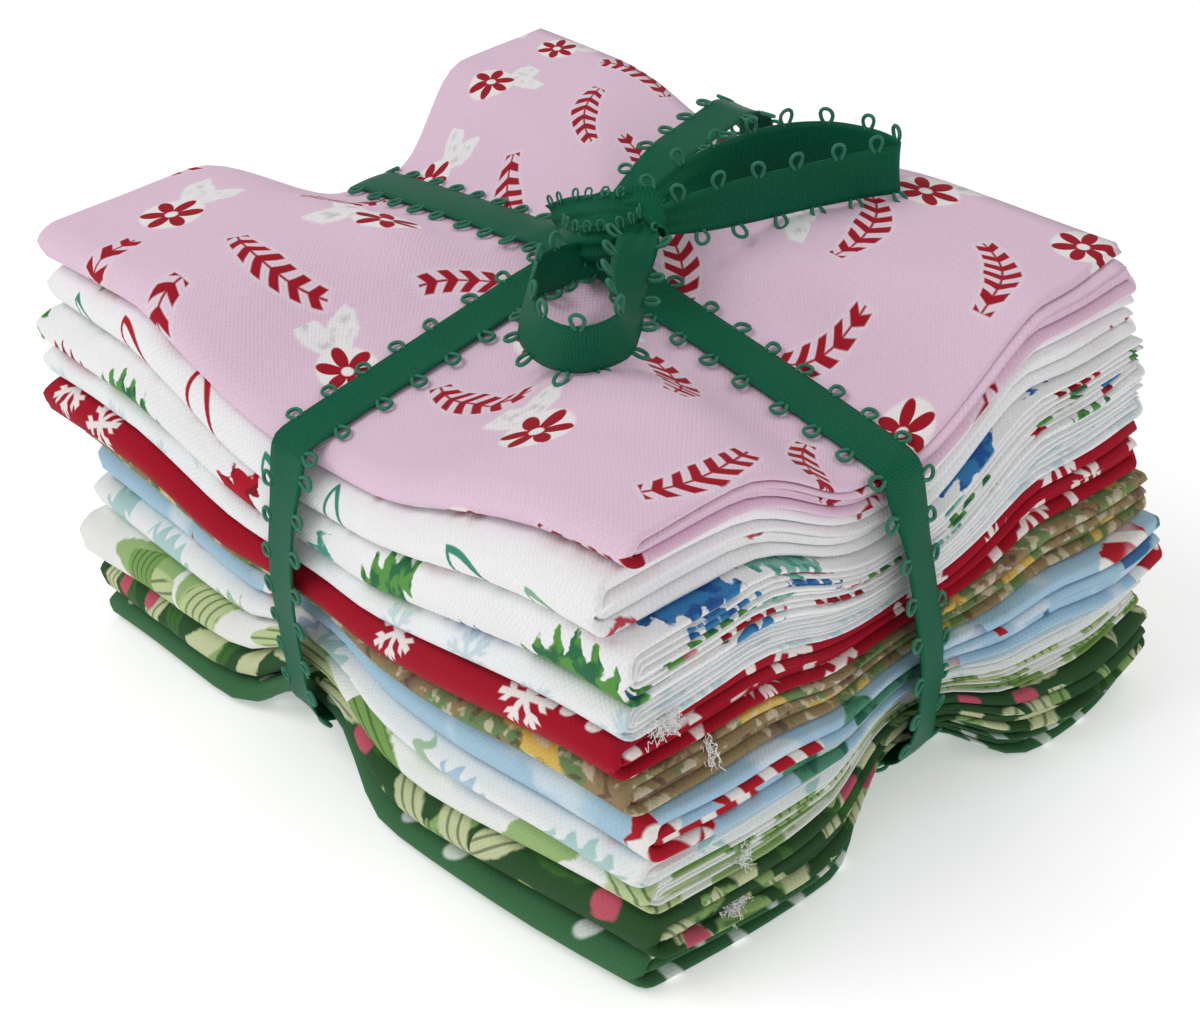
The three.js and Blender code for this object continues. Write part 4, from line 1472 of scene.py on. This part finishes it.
# Rows of right, forward, up, width direction as right, forward, up, and share of the width.
LOOP_RIGHT = (
    (7.0, 1.0, 80.2, 0.0, -0.7, 0.7, 0.45),
    (12.0, -1.6, 80.9, 0.1, -0.75, 0.6, 0.6),
    (18.0, -6.5, 82.2, 0.2, -0.6, 0.8, 0.85),
    (25.0, -12.0, 82.3, 0.2, -0.3, 1.0, 1.0),
    (33.0, -17.0, 82.0, 0.0, -0.1, 1.0, 1.0),
    (41.0, -17.8, 81.7, 0.0, 0.0, 1.0, 1.0),
    (47.5, -14.2, 81.5, 0.0, 0.0, 1.0, 1.0),
    (50.6, -9.6, 81.5, 0.0, 0.0, 1.0, 1.0),
    (50.2, -7.4, 81.5, 0.0, 0.0, 1.0, 1.0),
    (45.5, -6.2, 81.5, 0.0, 0.05, 1.0, 1.0),
    (36.0, -3.2, 81.4, 0.0, 0.1, 1.0, 1.0),
    (27.0, 0.0, 81.2, 0.0, 0.1, 1.0, 1.0),
    (19.0, 2.6, 80.9, 0.0, 0.0, 1.0, 0.86),
    (13.0, 4.2, 80.6, 0.0, -0.1, 1.0, 0.62),
    (8.0, 4.6, 80.6, 0.0, -0.1, 1.0, 0.5),
)
LOOP_FRONT = (
    (8.6, 5.5, 80.6, 1.0, 0.1, 0.35, 0.55),
    (8.6, 10.5, 80.8, 0.9, 0.1, -0.3, 0.7),
    (7.2, 17.0, 80.4, 0.66, 0.0, -0.8, 0.92),
    (6.0, 25.0, 80.0, 0.58, 0.0, -0.85, 1.0),
    (5.6, 33.0, 79.8, 0.45, -0.05, -0.9, 1.0),
    (4.6, 40.4, 79.7, 0.1, -0.15, -1.0, 1.0),
    (-1.0, 44.2, 79.7, 0.0, -0.18, -1.0, 1.0),
    (-6.2, 41.2, 79.7, -0.1, -0.12, -1.0, 1.0),
    (-9.0, 34.0, 79.7, -0.25, 0.0, -1.0, 1.0),
    (-9.0, 27.0, 79.6, -0.3, 0.0, -1.0, 1.0),
    (-7.2, 19.5, 79.3, -0.2, 0.15, -1.0, 0.9),
    (-3.0, 14.0, 78.4, 0.0, 0.4, -0.9, 0.75),
    (2.5, 10.0, 77.8, 0.0, 0.5, -0.8, 0.6),
)
KNOT_BINDING = (
    (-3.4, 3.0, 78.3, 0.1, -0.5, 0.85, 0.6),
    (-2.6, 8.0, 79.5, 0.1, -0.4, 0.9, 0.62),
    (-0.6, 11.2, 80.2, 0.0, -0.35, 0.93, 0.62),
    (2.8, 12.2, 80.6, 0.0, -0.35, 0.93, 0.62),
    (6.2, 11.2, 80.8, 0.0, -0.35, 0.93, 0.6),
    (8.4, 7.8, 80.4, -0.1, -0.4, 0.9, 0.56),
    (9.2, 3.5, 80.0, -0.2, -0.4, 0.9, 0.5),
)
KNOT_OVER = (
    (-4.8, -1.5, 78.4, 0.5, 0.7, -0.3, 0.7),
    (-1.6, 2.8, 81.2, 0.3, 0.8, -0.45, 0.74),
    (1.6, 4.6, 82.4, 0.1, 0.8, -0.55, 0.74),
    (5.0, 5.2, 82.8, 0.0, 0.8, -0.6, 0.7),
    (8.2, 5.2, 82.2, 0.0, 0.8, -0.6, 0.66),
    (10.2, 5.2, 80.4, 0.0, 0.8, -0.5, 0.62),
)
KNOT_FLAP = (
    (5.6, 4.2, 82.8, 0.3, 0.7, -0.6, 0.4),
    (7.6, 4.4, 83.4, 0.2, 0.7, -0.7, 0.66),
    (10.0, 4.8, 83.1, 0.1, 0.7, -0.7, 0.74),
    (12.0, 5.4, 81.8, 0.0, 0.75, -0.65, 0.7),
    (12.7, 6.0, 80.2, 0.0, 0.8, -0.5, 0.62),
    (12.0, 6.2, 78.8, 0.0, 0.8, -0.4, 0.6),
)
KNOT_TUCK = (
    (8.6, -3.0, 79.0, 0.5, 0.5, 0.7, 0.6),
    (5.0, -3.6, 80.2, 0.3, 0.6, 0.7, 0.6),
    (1.5, -3.4, 80.6, 0.2, 0.7, 0.6, 0.6),
    (-2.0, -1.8, 79.2, 0.1, 0.8, 0.4, 0.6),
)
KNOT_INNER = (
    (-2.4, 5.5, 77.4, 0.0, -0.2, 1.0, 0.7),
    (1.0, 6.6, 78.2, 0.0, -0.2, 1.0, 0.7),
    (5.0, 6.8, 78.4, 0.0, -0.2, 1.0, 0.7),
    (8.4, 5.2, 78.4, 0.0, -0.2, 1.0, 0.65),
)


def build_bow(finish: Finish, picots: Picots) -> None:
    """Makes the two loops and the knot."""
    loops = (("bow_loop_right", "ribbon_loop_right", LOOP_RIGHT, -1),
             ("bow_loop_front", "ribbon_loop_front", LOOP_FRONT, 1))
    for name, replaced, table, lower in loops:
        strip = Bow.strip(table, pleat=0.7)
        surface = Surface.empty()
        strip.weave(surface, picots, start=0.3, lower=lower)
        loop = surface.piece(name, finish, replaced)
        declare_ribbon(loop, strip.length())
    surface = Surface.empty()
    total = 0.0
    small = Picots(pitch=2.6, out=1.25, half_wide=0.4, half_foot=0.3, thread=0.2, steps=10)
    turns = ((KNOT_BINDING, (-1, 1)), (KNOT_OVER, (-1,)), (KNOT_FLAP, (1,)), (KNOT_TUCK, ()),
             (KNOT_INNER, ()))
    for table, edges in turns:
        strip = Bow.strip(table, pleat=1.1)
        strip.weave(surface, small, start=0.4, edges=edges)
        total += strip.length()
    knot = surface.piece("bow_knot", finish, "ribbon_knot")
    declare_ribbon(knot, total)


# Loose threads at the cut ends


@dataclass(frozen=True)
class Tuft:
    """A tuft of loose cotton at the right-front face: a place, how far it spreads, and its threads."""

    x: float
    y: float
    z: float
    drop: float
    spread: float
    threads: int

    radius = 0.065
    steps = 14
    faces = 4

    def grow(self, surface: Surface, draws: np.random.Generator) -> None:
        """Adds the tuft's threads."""
        foot = np.array([self.x, self.y, self.z])
        for _ in range(self.threads):
            steps = np.linspace(0.0, 1.0, self.steps + 1)[:, None]
            start = foot + draws.normal(0.0, 1.0, 3) * [0.4, self.spread / 2, 0.8]
            end = start + draws.normal(0.0, 0.6, 3) * [0.6, self.spread, 1.0] - [-0.7, 0.0, self.drop]
            phase = steps * draws.uniform(4.0, 11.0) + draws.uniform(0.0, 6.0)
            curl = np.sin(phase) * draws.normal(0.0, 0.55, 3)
            line = start + (end - start) * steps + curl * steps * [0.5, 1.0, 1.0]
            ahead = unit(np.gradient(line, axis=0))
            side = unit(np.cross(ahead, [0.3, 0.2, 0.93]))
            away = np.cross(ahead, side)
            add_thread(surface, line, side, away, self.radius, self.faces, line[:, 1:])


TUFTS = (
    Tuft(69.8, -49.5, 45.0, 0.5, 1.9, 110),
    Tuft(70.6, -42.0, 37.5, 2.6, 0.8, 26),
    Tuft(71.5, -37.0, 17.0, 2.2, 0.8, 22),
    Tuft(72.2, -39.5, 8.0, 0.6, 2.0, 100),
)


# The studio


@dataclass(frozen=True)
class SoftLight:
    """A soft round light that faces the bundle: its place and width in metres, its power in watts."""

    name: str
    place: tuple[float, float, float]
    width: float
    power: float

    aim = (0.0, 0.0, 0.04)

    def add(self) -> None:
        """Adds the light."""
        bpy.ops.object.light_add(type="AREA", location=self.place)
        light = bpy.context.object
        light.name = self.name
        light.data.shape = "DISK"
        light.data.size = self.width
        light.data.energy = self.power
        light.rotation_mode = "QUATERNION"
        light.rotation_quaternion = (Vector(self.aim) - Vector(self.place)).to_track_quat("-Z", "Y")


@dataclass(frozen=True)
class PhotoCamera:
    """The camera at the photograph's viewing angle, its place in millimetres."""

    eye: tuple[float, float, float] = (268.6, -232.1, 246.2)
    right: tuple[float, float, float] = (0.678, 0.733, -0.047)
    up: tuple[float, float, float] = (-0.359, 0.387, 0.849)
    back: tuple[float, float, float] = (0.641, -0.559, 0.525)
    lens: float = 74.7
    sensor_width: float = 36.0
    clip: tuple[float, float] = (0.01, 20.0)

    def add(self) -> None:
        """Adds the camera and makes it the scene's own."""
        data = bpy.data.cameras.new("photo_camera")
        data.sensor_fit = "HORIZONTAL"
        data.sensor_width = self.sensor_width
        data.lens = self.lens
        data.clip_start, data.clip_end = self.clip
        camera = bpy.data.objects.new("photo_camera", data)
        bpy.context.collection.objects.link(camera)
        turn = Matrix((self.right, self.up, self.back)).transposed()
        eye = Vector((self.eye[0] + FROM_ORIGIN[0], self.eye[1] + FROM_ORIGIN[1], self.eye[2])) * METRES
        camera.matrix_world = Matrix.Translation(eye) @ turn.to_4x4()
        bpy.context.scene.camera = camera


@dataclass(frozen=True)
class Studio:
    """The plain pale floor and the even light round the bundle."""

    floor_size: float = 8.0
    floor_drop: float = 0.0003
    floor_grey: float = 0.94
    floor_roughness: float = 0.9
    floor_glow: float = 0.36
    sky_strength: float = 0.47
    lights: tuple[SoftLight, ...] = (
        SoftLight("key", (-0.35, -0.55, 0.9), 0.7, 3.9),
        SoftLight("fill", (0.9, -0.2, 0.6), 0.9, 1.1),
        SoftLight("rear", (0.1, 0.9, 0.8), 0.8, 1.2),
    )

    def lay_floor(self) -> None:
        """Lays a plain near-white floor under the bundle."""
        bpy.ops.mesh.primitive_plane_add(size=self.floor_size, location=(0.0, 0.0, -self.floor_drop))
        floor = bpy.context.object
        floor.name = "studio_floor"
        paint = bpy.data.materials.new("studio_floor")
        paint.use_nodes = True
        shader = paint.node_tree.nodes["Principled BSDF"]
        shader.inputs["Base Color"].default_value = (self.floor_grey, self.floor_grey, self.floor_grey, 1.0)
        shader.inputs["Roughness"].default_value = self.floor_roughness
        shader.inputs["Emission Color"].default_value = (1.0, 1.0, 1.0, 1.0)
        shader.inputs["Emission Strength"].default_value = self.floor_glow
        floor.data.materials.append(paint)

    def light(self) -> None:
        """Lights the bundle softly from all round, brightest from the upper left."""
        world = bpy.data.worlds.new("studio")
        world.use_nodes = True
        background = world.node_tree.nodes["Background"]
        background.inputs["Color"].default_value = (1.0, 1.0, 1.0, 1.0)
        background.inputs["Strength"].default_value = self.sky_strength
        bpy.context.scene.world = world
        for light in self.lights:
            light.add()
        bpy.context.scene.view_settings.view_transform = "Standard"


# The bundle


def cotton(slot: str, ground: int, pattern: Pattern, seed: float = 0.0) -> PrintedCotton:
    """Names one printed cotton."""
    return PrintedCotton(slot + "_cotton", ground, pattern, seed)


EAST = RawEnd.EAST
PILE = [
    FatQuarter("fat_quarter_green_dots", cotton("green_dots", 0x3F7049, Pattern.DOTS),
               (5.5, 6.0, 4.8, 6.5), -1.5, 0.0, 0.0, -1.8, -0.6, -2.5),
    FatQuarter("fat_quarter_dark_leaves", cotton("dark_leaves", 0x2F5330, Pattern.DARK_FOLIAGE, 1.3),
               (7.5, 7.4, 8.0, 7.0), -2.0, 2.0, 3.2, -1.0, -0.8, 0.5),
    FatQuarter("fat_quarter_white_leaves", cotton("white_leaves", 0xF0F2EE, Pattern.PALE_FOLIAGE, 2.7),
               (9.0, 5.6, 5.0, 7.0), 0.0, 0.8, 1.0, 0.4, -1.4, 0.0, EAST),
    FatQuarter("fat_quarter_white_teal", cotton("white_teal", 0xF0F4F3, Pattern.FERNS, 3.1),
               (7.1, 5.0, 5.0, 6.5), -1.7, 0.7, 2.0, -2.5, -0.4, -1.0),
    FatQuarter("fat_quarter_sky", cotton("sky", 0xA9CBE0, Pattern.RIBBONS, 4.4),
               (7.2, 8.6, 9.0, 7.5), -2.5, 2.6, 4.6, -3.6, -0.8, 1.2),
    FatQuarter("fat_quarter_tan", cotton("tan", 0x97835F, Pattern.EARTH, 5.0),
               (5.2, 5.8, 8.0, 6.5), -1.8, 0.6, 1.4, -2.0, 0.6, 0.0),
    FatQuarter("fat_quarter_red", cotton("red", 0xA71128, Pattern.SNOW, 6.2),
               (7.5, 7.0, 9.6, 7.5), 1.4, -0.2, -0.4, 1.6, 1.7, -1.0),
    FatQuarter("fat_quarter_pale_sprigs", cotton("pale_sprigs", 0xF3F5F6, Pattern.FROST, 7.7),
               (6.2, 5.6, 7.8, 7.0), 1.2, 0.4, -0.4, 0.6, 0.3, -0.2, EAST),
    FatQuarter("fat_quarter_white_sprigs", cotton("white_sprigs", 0xF5F5F5, Pattern.WOODLAND, 8.9),
               (6.8, 10.4, 7.0, 7.5), 1.0, 1.4, -0.4, 0.8, 0.5, -0.5, EAST),
    FatQuarter("fat_quarter_white_hooks", cotton("white_hooks", 0xF6F6F7, Pattern.OUTLINES, 9.4),
               (7.2, 10.2, 7.5, 7.5), 0.0, -2.4, -2.0, -1.4, 1.0, -1.2),
    FatQuarter("fat_quarter_pink", cotton("pink", 0xEACCDF, Pattern.FLOWERS, 10.6),
               (6.8, 5.8, 8.4, 7.5), 0.6, -0.6, -1.4, -1.8, -2.6, -1.8,
               recess=(0.0, 0.4, 1.4, 3.2), cells=(36, 44)),
]
CREASES = (
    Crease((-52.0, -20.0), (-20.0, -34.0), -0.8, 7.0),
    Crease((12.0, -30.0), (40.0, -12.0), -0.9, 6.0),
    Crease((18.0, -18.0), (60.0, -44.0), 0.7, 7.0),
    Crease((10.0, 10.0), (22.0, 30.0), 0.9, 5.0),
    Crease((26.0, 14.0), (60.0, 40.0), -0.6, 8.0),
    Crease((-10.0, -12.0), (-34.0, -46.0), 0.5, 6.0),
    Crease((-14.0, 12.0), (-50.0, 34.0), -0.5, 7.0),
    Crease((9.0, -9.0), (24.0, -36.0), -1.3, 3.2),
    Crease((16.0, -4.0), (44.0, -30.0), -1.1, 3.4),
    Crease((-8.0, -8.0), (-26.0, -28.0), -1.0, 3.4),
    Crease((-9.0, 10.0), (-30.0, 26.0), -1.1, 3.4),
    Crease((12.0, 12.0), (34.0, 24.0), -1.2, 3.6),
    Crease((-50.0, -34.0), (-34.0, -10.0), 0.8, 4.5),
    Crease((40.0, 18.0), (62.0, 12.0), 0.9, 4.5),
    Crease((30.0, -44.0), (56.0, -34.0), -0.8, 4.0),
)
WRAPS = (
    Wrap("ribbon_short_way", "ribbon_wrap_short", False, 0.75, 0.3, 6.8, 11.0),
    Wrap("ribbon_long_way", "ribbon_wrap_long", True, 0.75, 1.0, 0.0, 19.0),
)


def main() -> None:
    """Builds the dressed bundle, the studio and the camera."""
    logging.basicConfig(level=logging.INFO)
    stack = PressedStack(creases=CREASES)
    folding = Folding()
    picots = Picots()
    satin = Satin("green_satin")
    for fat_quarter in PILE:
        fat_quarter.build(stack, PILE, folding)
    for wrap in WRAPS:
        wrap.build(stack, PILE, satin, picots)
    build_bow(satin, picots)
    draws = np.random.default_rng(17)
    loose = Surface.empty()
    for tuft in TUFTS:
        tuft.grow(loose, draws)
    loose.piece("loose_threads", Lint("white_sprigs_cotton"))
    studio = Studio()
    studio.lay_floor()
    studio.light()
    PhotoCamera().add()


if __name__ == "__main__":
    main()
